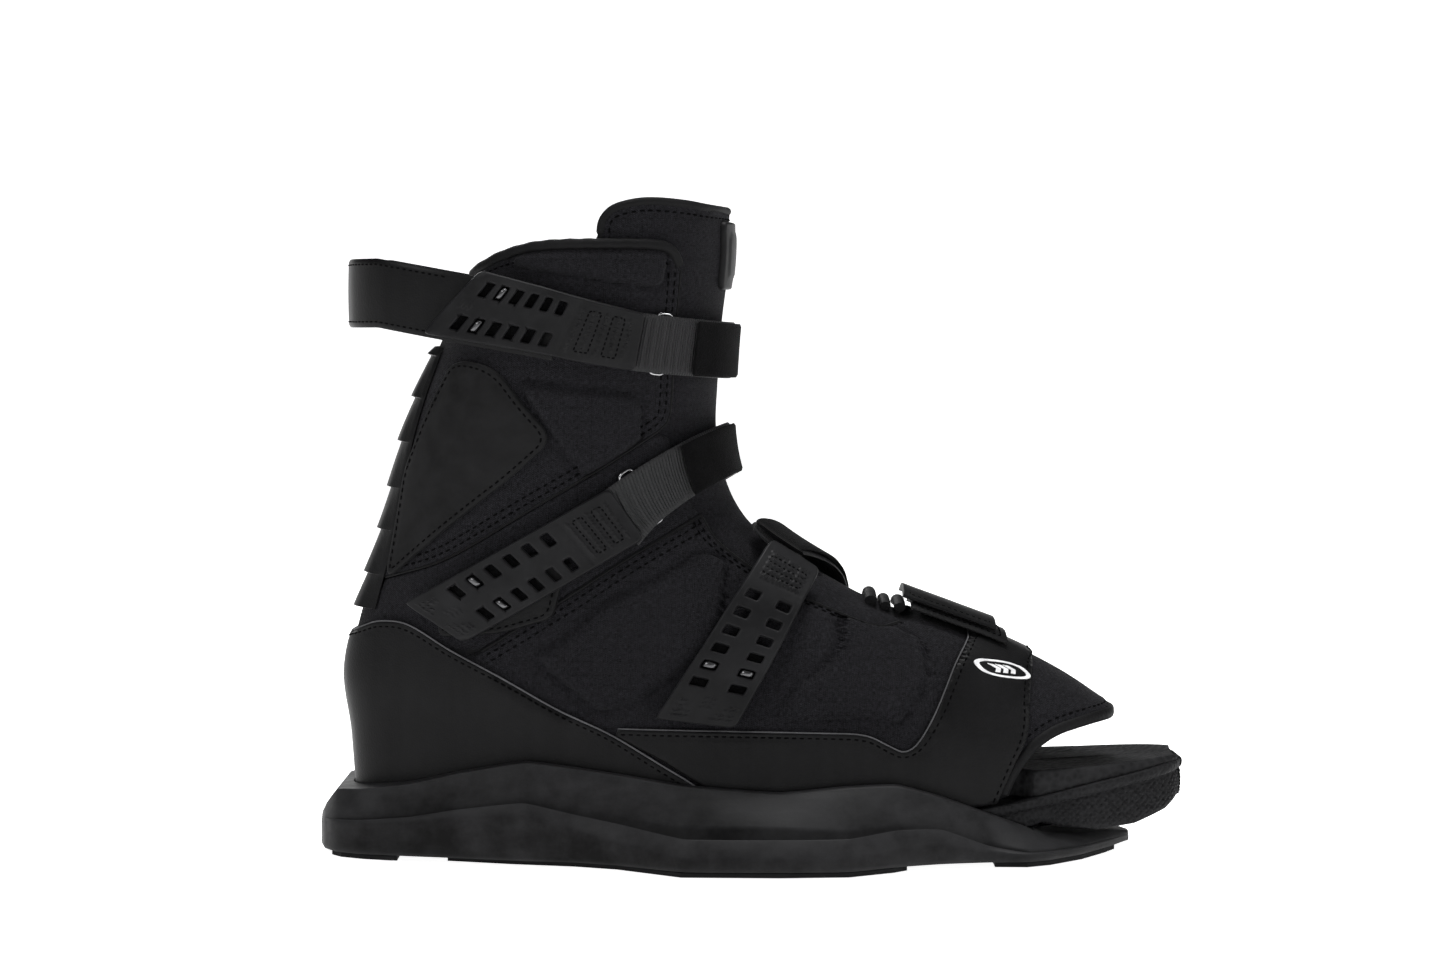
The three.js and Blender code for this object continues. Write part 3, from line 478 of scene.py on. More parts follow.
# ---------------------------------------------------------------- materials
class Look:
    """A material under construction: nodes by short calls."""

    def __init__(self, name, roughness, sheen=0.0, metallic=0.0, coat=0.0, specular=0.5):
        self.material = bpy.data.materials.new(name)
        self.material.use_nodes = True
        self.tree = self.material.node_tree
        self.shader = self.tree.nodes["Principled BSDF"]
        self.shader.inputs["Roughness"].default_value = roughness
        self.shader.inputs["Metallic"].default_value = metallic
        self.shader.inputs["Sheen Weight"].default_value = sheen
        self.shader.inputs["Sheen Roughness"].default_value = 0.45
        self.shader.inputs["Coat Weight"].default_value = coat
        self.shader.inputs["Specular IOR Level"].default_value = specular
        places = self.tree.nodes.new("ShaderNodeTexCoord")
        self.cloth, self.space = places.outputs["UV"], places.outputs["Object"]

    def node(self, kind, inputs, output=0, **settings):
        made = self.tree.nodes.new("ShaderNode" + kind)
        for key, value in settings.items():
            setattr(made, key, value)
        for key, value in inputs.items():
            if hasattr(value, "links"):
                self.tree.links.new(value, made.inputs[key])
            else:
                made.inputs[key].default_value = value
        return made.outputs[output]

    def math(self, operation, a, b=0.0):
        return self.node("Math", {0: a, 1: b}, operation=operation)

    def noise(self, where, scale, detail=4.0, roughness=0.55, stretch=(1, 1, 1), turn=0.0):
        placed = self.node("Mapping", {"Vector": where, "Scale": stretch, "Rotation": (0, 0, turn)})
        inputs = {"Vector": placed, "Scale": scale, "Detail": detail, "Roughness": roughness}
        return self.node("TexNoise", inputs)

    def cells(self, where, scale):
        return self.node("TexVoronoi", {"Vector": where, "Scale": scale, "Smoothness": 0.4},
                         feature="SMOOTH_F1")

    def ramp(self, value, low, high, start=0.0, end=1.0):
        return self.node("MapRange", {"Value": value, "From Min": start, "From Max": end,
                                      "To Min": low, "To Max": high})

    def colours(self, value, dark, light):
        mixed = self.node("Mix", {0: value, 6: (*dark, 1), 7: (*light, 1)}, output=2, data_type="RGBA")
        self.tree.links.new(mixed, self.shader.inputs["Base Color"])
        return mixed

    def roughness(self, value):
        self.tree.links.new(value, self.shader.inputs["Roughness"])

    def bump(self, height, distance, strength=1.0):
        """distance is the height's full depth in metres."""
        before = self.shader.inputs["Normal"]
        made = self.tree.nodes.new("ShaderNodeBump")
        made.inputs["Strength"].default_value = strength
        made.inputs["Distance"].default_value = distance
        self.tree.links.new(height, made.inputs["Height"])
        if before.links:
            self.tree.links.new(before.links[0].from_socket, made.inputs["Normal"])
        self.tree.links.new(made.outputs["Normal"], before)


RIPSTOP_TURN = 62.83       # phase for each UV unit, which makes a square every 5 mm


def ripstop():
    """Twill cloth with a ripstop square every 5 mm."""
    look = Look("ripstop_fabric", 0.75, sheen=0.02, specular=0.06)
    split = look.tree.nodes.new("ShaderNodeSeparateXYZ")
    look.tree.links.new(look.cloth, split.inputs[0])
    u, v = split.outputs[0], split.outputs[1]
    diagonal = look.math("ADD", look.math("MULTIPLY", u, 1.0), look.math("MULTIPLY", v, 1.6))
    twill = look.math("SINE", look.math("MULTIPLY", diagonal, 520.0))
    yarn = look.math("SINE", look.math("MULTIPLY", u, 900.0))
    weave = look.ramp(look.math("ADD", twill, look.math("MULTIPLY", yarn, 0.5)), 0.0, 1.0, -1.2, 1.2)
    lines = []
    for axis in (u, v):
        wave = look.math("COSINE", look.math("MULTIPLY", axis, RIPSTOP_TURN))
        lines.append(look.math("POWER", look.math("ABSOLUTE", wave), 60.0))
    grid = look.math("MAXIMUM", *lines)
    blotch = look.noise(look.space, 35.0, 5.0)
    warp, weft = (look.noise(look.cloth, 55.0, 2.0, stretch=stretch) for stretch in ((1, 6, 1), (6, 1, 1)))
    slub = look.ramp(look.math("ADD", warp, weft), -0.5, 1.1, 0.75, 1.3)
    tone = look.math("ADD", look.math("MULTIPLY", weave, 0.35), look.math("MULTIPLY", blotch, 0.25))
    tone = look.math("ADD", tone, look.math("MULTIPLY", slub, 0.55))
    tone = look.math("SUBTRACT", tone, look.math("MULTIPLY", grid, 0.09))
    look.colours(look.math("MAXIMUM", tone, 0.0), (0.0012, 0.0012, 0.0014), (0.021, 0.0205, 0.0242))
    look.bump(look.math("SUBTRACT", weave, look.math("MULTIPLY", grid, 0.4)), 0.0002, 0.7)
    look.bump(slub, 0.00025, 0.6)
    look.bump(look.noise(look.space, 60.0, 3.0), 0.0004, 0.4)
    return look.material


def leather(name, dark, light, grain, roughness=(0.42, 0.6), depth=0.0001):
    """Smooth synthetic leather with fine grain and faint scuffs."""
    look = Look(name, 0.5, sheen=0.01, specular=0.09)
    blotch = look.noise(look.space, 22.0, 6.0)
    scuff = look.noise(look.space, 160.0, 3.0, stretch=(1, 1, 0.15), turn=0.5)
    look.colours(look.ramp(look.math("ADD", blotch, look.math("MULTIPLY", scuff, 0.4)), 0.0, 1.0, 0.4, 0.95),
                 dark, light)
    look.roughness(look.ramp(blotch, roughness[0], roughness[1], 0.3, 0.7))
    look.bump(look.cells(look.space, grain), depth, 0.55)
    look.bump(look.noise(look.space, 40.0, 4.0), 0.0006, 0.3)
    return look.material


def brushed():
    look = Look("brushed_patch", 0.62, sheen=0.02, specular=0.08)
    strands = look.noise(look.space, 260.0, 4.0, stretch=(0.12, 1, 0.5), turn=0.0)
    wide = look.noise(look.space, 30.0, 4.0)
    tone = look.math("ADD", look.math("MULTIPLY", strands, 0.75), look.math("MULTIPLY", wide, 0.25))
    look.colours(look.ramp(tone, 0, 1, 0.3, 0.7), (0.003, 0.003, 0.0032), (0.0105, 0.0105, 0.011))
    look.roughness(look.ramp(strands, 0.5, 0.72, 0.3, 0.7))
    look.bump(strands, 0.00018, 0.5)
    return look.material


def moulded(name, dark, light, roughness=(0.42, 0.62), marks=1.0):
    """Glass-filled plastic: mottled, with scuffs and worn edges, and painted light: lighter on faces turned
    up, darker on the sides and underneath.
    """
    look = Look(name, 0.5, specular=0.09)
    mottle = look.noise(look.space, 55.0, 8.0, 0.65)
    flow = look.noise(look.space, 18.0, 5.0, 0.6, stretch=(0.5, 1, 2.4))
    scratch = look.noise(look.space, 420.0, 2.0, 0.5, stretch=(0.06, 1, 1))
    edge = look.node("NewGeometry", {}, output="Pointiness")
    wear = look.ramp(edge, 0.0, 0.5 * marks, 0.5, 0.6)
    tone = look.math("ADD", look.math("MULTIPLY", mottle, 0.7), look.math("MULTIPLY", flow, 0.45))
    # Painted light and shade: faces turned up are made lighter and side and downward faces darker, as if lit
    # from above.
    facing = look.tree.nodes.new("ShaderNodeSeparateXYZ")
    look.tree.links.new(look.node("NewGeometry", {}, output="Normal"), facing.inputs[0])
    painted_top_light = look.ramp(facing.outputs[2], -0.16, 0.28, 0.0, 0.75)
    tone = look.math("ADD", look.ramp(tone, 0.0, 1.0, 0.42, 0.76), look.math("ADD", wear, painted_top_light))
    tone = look.math("MAXIMUM", look.math("MINIMUM", tone, 1.0), 0.0)
    look.colours(tone, dark, light)
    look.roughness(look.ramp(look.math("ADD", mottle, look.math("MULTIPLY", scratch, 0.5)),
                             roughness[0], roughness[1], 0.5, 1.0))
    look.bump(look.noise(look.space, 700.0, 2.0), 0.00006, 0.5)
    look.bump(mottle, 0.0003, 0.25)
    return look.material


def foam(name, dark, light, grain=420.0, depth=0.0006):
    """Leather-grained foam."""
    look = Look(name, 0.7, specular=0.1)
    cells = look.cells(look.space, grain)
    tone = look.math("ADD", cells, look.math("MULTIPLY", look.noise(look.space, 40.0), 0.6))
    look.colours(look.ramp(tone, 0.0, 1.0, 0.2, 1.1), dark, light)
    look.roughness(look.ramp(cells, 0.55, 0.8))
    look.bump(cells, depth, 0.8)
    return look.material


RIB_PITCH = 1.1            # millimetres between the ribs of the webbing


def woven(name, dark, light, roughness=0.5, specular=0.2):
    """Webbing: ribs across, fine threads along, from the strap's own layout."""
    look = Look(name, roughness, specular=specular)
    split = look.tree.nodes.new("ShaderNodeSeparateXYZ")
    look.tree.links.new(look.cloth, split.inputs[0])
    u, v = split.outputs[0], split.outputs[1]
    turn = 2 * math.pi / (RIB_PITCH * UV_SCALE)
    rib = look.math("COSINE", look.math("MULTIPLY", u, turn))
    thread = look.math("COSINE", look.math("MULTIPLY", v, turn * 1.9))
    fibre = look.noise(look.cloth, 60.0, 3.0, stretch=(1, 9, 1))
    weave = look.ramp(look.math("MULTIPLY", rib, thread), 0, 1, -1, 1)
    tone = look.math("ADD", look.math("MULTIPLY", weave, 0.55), look.math("MULTIPLY", fibre, 0.6))
    look.colours(look.ramp(tone, 0, 1, 0.1, 1.0), dark, light)
    look.bump(weave, 0.0002, 0.6)
    look.bump(fibre, 0.0002, 0.4)
    return look.material


def velvet():
    look = Look("hook_and_loop", 0.9, sheen=0.03, specular=0.03)
    pile = look.noise(look.space, 1400.0, 3.0, 0.7)
    nap = look.noise(look.space, 90.0, 4.0)
    tone = look.math("ADD", look.math("MULTIPLY", pile, 0.6), look.math("MULTIPLY", nap, 0.5))
    look.colours(look.ramp(tone, 0, 1, 0.35, 0.8), (0.0009, 0.0009, 0.001), (0.0052, 0.0052, 0.0055))
    look.bump(pile, 0.0005, 0.9)
    return look.material


def padding():
    """Brushed lining cloth over foam."""
    look = Look("liner_fabric", 0.92, sheen=0.03, specular=0.04)
    pile = look.noise(look.space, 900.0, 3.0, 0.7)
    nap = look.noise(look.space, 45.0, 5.0)
    tone = look.math("ADD", look.math("MULTIPLY", pile, 0.5), look.math("MULTIPLY", nap, 0.6))
    look.colours(look.ramp(tone, 0, 1, 0.35, 0.85), (0.003, 0.003, 0.0033), (0.018, 0.018, 0.0192))
    look.bump(pile, 0.0003, 0.7)
    look.bump(nap, 0.0008, 0.4)
    return look.material


def metal(name, dark, light, roughness):
    look = Look(name, roughness, metallic=1.0)
    drawn = look.noise(look.space, 500.0, 3.0, stretch=(0.2, 1, 1))
    look.colours(drawn, dark, light)
    look.roughness(look.ramp(drawn, roughness * 0.7, roughness * 1.5))
    look.bump(drawn, 0.00004, 0.4)
    return look.material


def paint():
    look = Look("emblem_white", 0.4, specular=0.5)
    worn = look.noise(look.space, 300.0, 5.0)
    look.colours(look.ramp(worn, 0, 1, 0.3, 0.6), (0.62, 0.62, 0.63), (0.86, 0.86, 0.87))
    look.bump(worn, 0.00008, 0.4)
    return look.material


CLOTH = ripstop()
SYNTHETIC = leather("synthetic_overlay", (0.0018, 0.0018, 0.002), (0.007, 0.007, 0.0074), 1500.0, (0.36, 0.5))
BINDING = leather("binding_tape", (0.0022, 0.0022, 0.0024), (0.0075, 0.0075, 0.008), 900.0,
                  (0.55, 0.7), 0.0002)
RAW_EDGE = leather("raw_edge", (0.03, 0.03, 0.032), (0.11, 0.11, 0.115), 900.0, (0.5, 0.7))
PATCH = brushed()
TPU = moulded("ladder_tpu", (0.006, 0.006, 0.0064), (0.0145, 0.0145, 0.0154), (0.4, 0.52), 0.25)
CHASSIS_LOOK = moulded("chassis_plastic", (0.0012, 0.0012, 0.0013), (0.02, 0.02, 0.0211), (0.42, 0.64))
RUBBER = moulded("pad_rubber", (0.004, 0.004, 0.0043), (0.012, 0.012, 0.0125), (0.7, 0.9), 0.3)
SOLE = foam("sole_foam", (0.003, 0.003, 0.0033), (0.014, 0.014, 0.015), 640.0, 0.0006)
FOOTBED = foam("footbed_foam", (0.003, 0.003, 0.0033), (0.017, 0.017, 0.018))
WEBBING = woven("grey_webbing", (0.002, 0.002, 0.0021), (0.026, 0.026, 0.0276), roughness=0.36)
VELVET = velvet()
LINING = padding()
THREAD = woven("thread", (0.0006, 0.0006, 0.0006), (0.003, 0.003, 0.0033), roughness=0.8, specular=0.02)
STEEL = metal("dark_metal", (0.045, 0.045, 0.047), (0.15, 0.15, 0.155), 0.3)
WIRE = metal("bright_wire", (0.2, 0.2, 0.205), (0.5, 0.5, 0.51), 0.22)
WHITE = paint()


# ---------------------------------------------------------------- chassis and sole
TRAY_FLOOR = 10.3
TROUGH_FLOOR = 5.5
PAD_THICKNESS = 2.0
BOLT_RADIUS = 75.5
BOLT_SLOT_WIDTH = 8.0
BOLT_SLOT_SWING = math.radians(9)
SOLE_HEEL, SOLE_TOE, SOLE_HALF = -160, 155.5, 48
SOLE_SCREWS = [[-112, -19], [-112, 19], [62, -26], [62, 26]]
# x, half widths of wall, ridge and rim, heights of rim, ridge, crest and wall.
CHASSIS = [
    [-174.6, 12, 10.6, 8, 14, 12.6, 12.2, 10],
    [-172, 25, 23, 17, 18.5, 14.4, 13.9, 12.3],
    [-167, 34, 31.5, 26, 25, 15.2, 14.7, 13.2],
    [-158, 40, 37.5, 33.5, 26, 15.8, 15.2, 13.8],
    [-138, 46, 42.5, 39.5, 28.6, 17.9, 17.2, 15.2],
    [-120, 50.5, 46.5, 43.5, 33, 21.3, 20.6, 17],
    [-95, 57.5, 52, 47, 37.5, 25, 23.9, 18.7],
    [-76, 61, 54, 49, 35.5, 21.7, 20, 14],
    [-60, 68, 57, 50.5, 33.2, 19, 17.4, 10.6],
    [-35, 84.5, 63, 52.5, 29.3, 15.7, 14, 6.8],
    [0, 86, 66, 53.5, 26.6, 15.8, 13.9, 6.9],
    [25, 84, 65, 53.5, 29, 14.4, 14, 6.7],
    [44, 72, 62, 53, 29.6, 16.1, 15.6, 9],
    [60, 65, 58, 51, 25.2, 15.6, 15, 9.5],
    [78, 61, 54, 47, 18.4, 8.6, 8.2, 6.2],
    [92, 60.5, 56, 42, 13.2, 6.2, 5.8, 5.2],
    [101, 55, 51, 38, 9.6, 5.8, 5.5, 5],
    [114, 41, 38, 28, 8.6, 5.4, 5.2, 4.8],
    [127, 20, 18, 13, 7.4, 5, 4.8, 4.5],
    [135.4, 4, 3.4, 2.6, 5.6, 4.6, 4.4, 4.2],
]


def bake(piece):
    graph = bpy.context.evaluated_depsgraph_get()
    piece.data = bpy.data.meshes.new_from_object(piece.evaluated_get(graph))
    piece.modifiers.clear()


def cut(piece, cutter):
    change = piece.modifiers.new("cut", "BOOLEAN")
    change.operation = "DIFFERENCE"
    change.solver = "EXACT"
    change.object = cutter
    bake(piece)
    bpy.data.objects.remove(cutter)


def loft(name, rings, look):
    rings = np.asarray(rings, float)
    rows, columns = rings.shape[:2]
    faces = grid_faces(rows, columns) + end_caps(rows, columns)
    piece = mesh(name, rings.reshape(-1, 3), faces, look)
    outwards(piece)
    return piece


def prism(outline, low, high, look):
    rings = [[(x, y, z) for x, y in outline] for z in (low, high)]
    return loft("cutter", rings, look)


DISC_SIDES = 24


def disc(x, y, radius):
    t = np.linspace(0, 2 * math.pi, DISC_SIDES, endpoint=False)
    return np.stack([x + radius * np.cos(t), y + radius * np.sin(t)], axis=1)


def bolt_slot(side, width):
    swing = np.linspace(-BOLT_SLOT_SWING, BOLT_SLOT_SWING, 12) + side * math.pi / 2
    line = BOLT_RADIUS * np.stack([np.cos(swing), np.sin(swing)], axis=1)
    out = unit(line) * width / 2
    caps = []
    for centre, start in ((line[-1], swing[-1]), (line[0], swing[0] + math.pi)):
        turn = np.linspace(start, start + math.pi, 8)[1:-1]
        caps.append(centre + width / 2 * np.stack([np.cos(turn), np.sin(turn)], axis=1))
    return np.concatenate([line + out, caps[0], (line - out)[::-1], caps[1]])


def boot_form(distance, floor, top):
    turn = np.linspace(0, 2 * math.pi * TURN, 96, endpoint=False)
    rings = [on_boot(np.stack([turn, np.full(len(turn), z)], axis=1), distance)
             for z in np.linspace(floor, top, 14)]
    return loft("cutter", rings, CHASSIS_LOOK)


def sole_half(x, inset=0.0):
    s = np.clip((x - SOLE_HEEL) / (SOLE_TOE - SOLE_HEEL), 0.002, 0.998)
    sine = np.sin(np.arccos(1 - 2 * s))
    return np.maximum(SOLE_HALF * (1 - 0.18 * (1 - s) ** 1.5) * sine**0.62 - inset, 0.6)


def chassis_section(row):
    x, wall, ridge, rim, z_rim, z_ridge, z_crest, z_wall = row
    trough = min(max((wall - ridge - 8) / 12, 0), 1)
    crest = max(wall - 4.5, ridge + 0.6 * (wall - ridge))
    out = crest - 0.12 * (wall - ridge)
    floor = max(z_crest - 2 - 6.5 * trough, min(z_crest - 2, TROUGH_FLOOR))
    half = [[wall - 1, PAD_THICKNESS], [wall, PAD_THICKNESS + 1], [wall, z_wall], [crest, z_crest],
            [out, floor], [ridge + 0.15 * (wall - ridge), floor], [ridge, z_ridge], [rim, z_rim],
            [rim - 2, z_rim]]
    half = rounded(half, 0.9, closed=False, steps=2)
    return np.array([[x, y, z] for y, z in half] + [[x, -y, z] for y, z in half[::-1]])


SCREW_HEAD_RADIUS, SCREW_RADIUS = 5.1, 2.9


def make_chassis():
    table = np.array(CHASSIS, float)
    at = np.concatenate([[-174.6, -174, -173], np.arange(-172, 135, 2.5), [135.4]])
    columns = [0.7 * np.interp(at, table[:, 0], table[:, k])
               + 0.3 * value_at(list(zip(table[:, 0], table[:, k])), at) for k in range(table.shape[1])]
    body = loft("chassis_body", [chassis_section(row) for row in zip(*columns)],
                CHASSIS_LOOK)
    cut(body, boot_form(2.0, TRAY_FLOOR, 66))
    stations = np.linspace(SOLE_HEEL - 0.6, 96, 30)
    half = sole_half(stations, -0.6)
    plan = np.concatenate([np.stack([stations, half], axis=1), np.stack([stations, -half], axis=1)[::-1]])
    cut(body, prism(plan, TRAY_FLOOR, 60, CHASSIS_LOOK))
    for side in (1, -1):
        cut(body, prism(bolt_slot(side, BOLT_SLOT_WIDTH), -5, 40, CHASSIS_LOOK))
    for x, y in SOLE_SCREWS:
        cut(body, prism(disc(x, y, SCREW_HEAD_RADIUS), -5, 6, CHASSIS_LOOK))
        cut(body, prism(disc(x, y, SCREW_RADIUS), -5, 30, CHASSIS_LOOK))
    body.data.shade_smooth()
    body.data.set_sharp_from_angle(angle=math.radians(32))
    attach(body, "boot")
    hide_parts("chassis")


MIDSOLE_TOP = [[-160, 16], [55, 16], [87, 21], [120, 28.4], [155.5, 35.4]]
MIDSOLE_LOW = [[-160, 10.7], [90, 10.7], [99, 13.6], [107, 12], [121, 10.4], [136, 12],
               [149, 16.5], [155.5, 21]]
FOOTBED_HEEL, FOOTBED_LENGTH = -150, 302.6
FOOTBED_TOP = [[-158, 25], [-60, 23], [40, 23], [87, 32.6], [120, 34.4], [154, 37]]


def line_at(pairs, x):
    return np.interp(x, [p[0] for p in pairs], [p[1] for p in pairs])


def sole_plan(inset):
    """The sole's outline seen from above, finely sampled round the toe."""
    turn = np.linspace(0, math.pi, 2000)
    x = (SOLE_TOE + SOLE_HEEL) / 2 - (SOLE_TOE - SOLE_HEEL) / 2 * np.cos(turn)
    line = np.stack([x, -sole_half(x)], axis=1)
    knots = lengths(line)
    start = np.interp(70, x, knots)
    at = np.concatenate([np.linspace(0, start, 60, endpoint=False),
                         np.arange(start, knots[-1], 0.55), [knots[-1]]])
    half = np.stack([np.interp(at, knots, line[:, 0]), np.interp(at, knots, line[:, 1])], axis=1)
    plan = np.concatenate([half, half[::-1][1:] * [1, -1]])
    along = unit(np.roll(plan, -1, axis=0) - np.roll(plan, 1, axis=0))
    out = np.stack([along[:, 1], -along[:, 0]], axis=1)
    length = lengths(plan)
    return plan - np.reshape(inset, (-1, 1)) * out, out, length


def make_midsole():
    lip, under = 1.5, 4.2
    plan, out, length = sole_plan(0.5)
    top, low = line_at(MIDSOLE_TOP, plan[:, 0]), line_at(MIDSOLE_LOW, plan[:, 0])
    rows = [(9.0, -0.2), (3.0, 0.0), (1.0, 0.0), (0.25, -0.4), (0.0, -1.1), (0.0, -2.4),
            (0.25, -3.3), (0.8, -under + 0.3), (lip, -under)]
    rings = [np.column_stack([plan - inset * out, top + drop]) for inset, drop in rows]
    wall_top = top - under - 0.1
    for t in np.linspace(0, 1, 26):
        z = wall_top + (low + 0.6 - wall_top) * t
        across = (length / 3.0 + z / 2.6) % 1.0
        slant = (length / 3.0 - z / 2.6) % 1.0
        diamond = np.minimum(np.abs(across - 0.5), np.abs(slant - 0.5)) * 2
        reach = smooth((plan[:, 0] - 96) / 10) * smooth(t / 0.12) * smooth((1 - t) / 0.15)
        inset = lip - 0.55 * reach * smooth(diamond / 0.45) - 0.5 * math.sin(math.pi * t)
        rings.append(np.column_stack([plan - np.reshape(inset, (-1, 1)) * out, z]))
    for inset, rise in ((lip + 0.4, 0.25), (lip + 1.2, 0.0), (8.0, 0.0)):
        rings.append(np.column_stack([plan - inset * out, low + rise]))
    body = loft("midsole_body", rings, SOLE)
    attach(body, "boot")
    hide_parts("midsole")


def footbed_half(x):
    z = np.full(np.shape(x), 22.0)
    inner = np.abs(last_point(angle_at(x, z), z)[..., 1]) - 9.4
    return np.maximum(inner + (sole_half(x, 2.4) - inner) * smooth((x - 90) / 8), 2)


def make_footbed():
    """Contoured footbed: a rim round its edge, dished inside, rounded over at the toe."""
    stations = FOOTBED_HEEL + FOOTBED_LENGTH * (1 - np.cos(np.linspace(0, math.pi, 110))) / 2
    rings = []
    for x in stations:
        half, top = float(footbed_half(x)), float(line_at(FOOTBED_TOP, x))
        low = float(line_at(MIDSOLE_TOP, x)) + 0.35
        section = [[half - 0.3, low], [half, low + 0.8], [half, top - 2.2], [half - 0.4, top - 1.0],
                   [half - 1.4, top - 0.25], [half - 2.8, top]]
        section = [[max(y, 0.3), z] for y, z in section]
        dish = 1.1 * smooth((x - 80) / 20) + 0.4
        for share in (0.88, 0.8, 0.7, 0.55, 0.35, 0.12):
            section.append([max((half - 2.8) * share, 0.1), top - dish * smooth((1 - share) / 0.3)])
        rings.append([[x, y, z] for y, z in section] + [[x, -y, z] for y, z in section[::-1]])
    body = loft("footbed_body", rings, FOOTBED)
    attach(body, "boot")
    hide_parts("footbed")


make_chassis()
make_midsole()
make_footbed()

# ---------------------------------------------------------------- shell panels
FLOOR = 16.9
HEEL, TOE = 0.0, math.pi * TURN          # turns of the heel and toe lines
CUFF_FRONT = [[-36, 221], [-38.6, 191], [-40, 168]]
CUFF_SEAM = [[-45, 160.5], [-67, 146.5], [-93, 131.5], [-126, 112.5], [-150, 104.8]]
LOWER_SEAM = [[-28.7, 129], [-42, 121.5], [-57, 113], [-85, 95], [-112, 78]]
THROAT_TOP = [[-40.4, 158], [-36, 140], [-28.7, 129]]
THROAT = [[-28.7, 129], [-22, 119], [0, 103.5], [22, 93.5], [38, 87.8], [46.5, 89.2]]
TOE_EDGE = [[82.5, 21.6], [87.5, 33], [93.5, 41], [98.5, 45.6], [105, 49.4], [113, 51.8],
            [121.5, 53.6], [127.5, 54.4]]
COLLAR = [[-38, 224.5], [-40, 227], [-46, 228.6], [-66, 229], [-90, 228.5], [-104, 225.5],
          [-114, 221]]


QUILT = (2.3, 2.4)         # rise and ramp of a quilted shape
SEAM = (0.35, 0.7)         # depth and width of the furrow under a row of stitches
OVERLAY_SEAM = (0.3, 0.6)


def at_heel(z):
    return np.array([[HEEL, z]])


def at_toe(z):
    return np.array([[TOE, z]])


def joined(*lines):
    return np.concatenate([np.asarray(line, float) for line in lines])


def inner_row(line, loop, by, closed=False):
    """The line moved into the loop by a real distance."""
    rows = [shifted(line, on_boot, way * by, closed) for way in (1, -1)]
    row = max(rows, key=lambda r: inside(r, loop).mean())
    return row[inside(row, loop)]


def tidy(loop):
    """Drops points that lie on top of their neighbours."""
    gap = np.linalg.norm(loop - np.roll(loop, 1, axis=0), axis=1)
    return loop[gap > 0.05]


def both_sides(lateral):
    """Loop from a line that starts and ends on the toe line, with its mirror image."""
    return tidy(joined(lateral, mirrored(lateral)[1:-1]))


def round_heel(lateral):
    """Loop from a line that starts and ends on the heel line, with its mirror image."""
    return tidy(joined(lateral, mirrored(lateral, behind=True)[1:-1]))


def dressed(piece, body, *nodes):
    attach(piece, body)
    if nodes:
        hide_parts(*nodes)
    return piece


def piping(name, line, height, radius, look=RAW_EDGE):
    """Raw cut edge that shows as a thin line along a panel."""
    route = on_boot(line, height)
    return tube(name, route, radius, look, sides=6)


def pressed(outline):
    """Pressed line round a quilted shape."""
    return joined(outline, outline[:1]), 1.1, 1.1


def make_lower_shell():
    floor = straight([[HEEL, FLOOR], laid([[53, FLOOR]])[0]], 4)
    toe = joined(laid(curved(TOE_EDGE, 1.5)), at_toe(54.6))
    throat = joined(at_toe(93.5), laid(curved(THROAT, 2)[::-1]))
    seam = joined(laid(curved(LOWER_SEAM, 2)), at_heel(64))
    lateral = joined(floor, toe)
    upper = joined(throat, seam[1:])
    loop = tidy(joined(lateral, mirrored(lateral)[1:], mirrored(upper), upper[1:]))
    quilts = [
        [[-92, 76], [-66, 97], [-28, 116.5], [-17, 111], [-49, 61], [-66, 55]],
        [[-3, 52], [5, 63], [24, 91.5], [31, 93], [57, 81], [46, 51], [33, 54]],
    ]
    reliefs = []
    for quilt in quilts:
        side = laid(rounded(quilt, 5))
        reliefs += [(side, *QUILT), (mirrored(side), *QUILT)]
    edges = [laid(curved(LOWER_SEAM, 1.5)), laid(curved(THROAT, 1.5))]
    dents, rows = [pressed(side) for side, _, _ in reliefs], []
    for line in (edges[0], laid(curved(THROAT[:-1], 1.5))):
        rows += [inner_row(line, loop, by) for by in (2.2, 4.6)]
    rows.append(inner_row(joined(laid(curved(TOE_EDGE[2:], 1.5)), at_toe(54.6)), loop, 3.0))
    for row in [*rows, *map(mirrored, rows)]:
        dents.append((row, *SEAM))
        stitch_flat("stitching_lower_shell", row, SHELL[1] - 0.22)
    piece = panel("lower_shell_cloth", [loop], SHELL, (1.5, 1.1), CLOTH,
                  reliefs=reliefs, dents=dents)
    dressed(piece, "boot", "lower_shell")
    for index, line in enumerate([*edges, *map(mirrored, edges)]):
        dressed(piping(f"lower_shell_edge_{index + 1}", line, SHELL[1] - 0.9, 0.85, BINDING), "boot")


def make_gusset():
    """Flex zone between cuff and lower shell."""
    seam = joined(laid(curved([[a, b - 0.5] for a, b in CUFF_SEAM], 2)), at_heel(102))
    throat = laid(curved(THROAT_TOP, 2)[::-1])
    low = joined(at_heel(65), laid(curved([[a, b + 0.6] for a, b in LOWER_SEAM], 2)[::-1]))
    loop = round_heel(joined(low, throat[1:], seam))
    piece = panel("gusset_cloth", [loop], (SHELL[0], SHELL[1] - 0.4), (1.8, 1.6), CLOTH)
    dressed(piece, "boot")


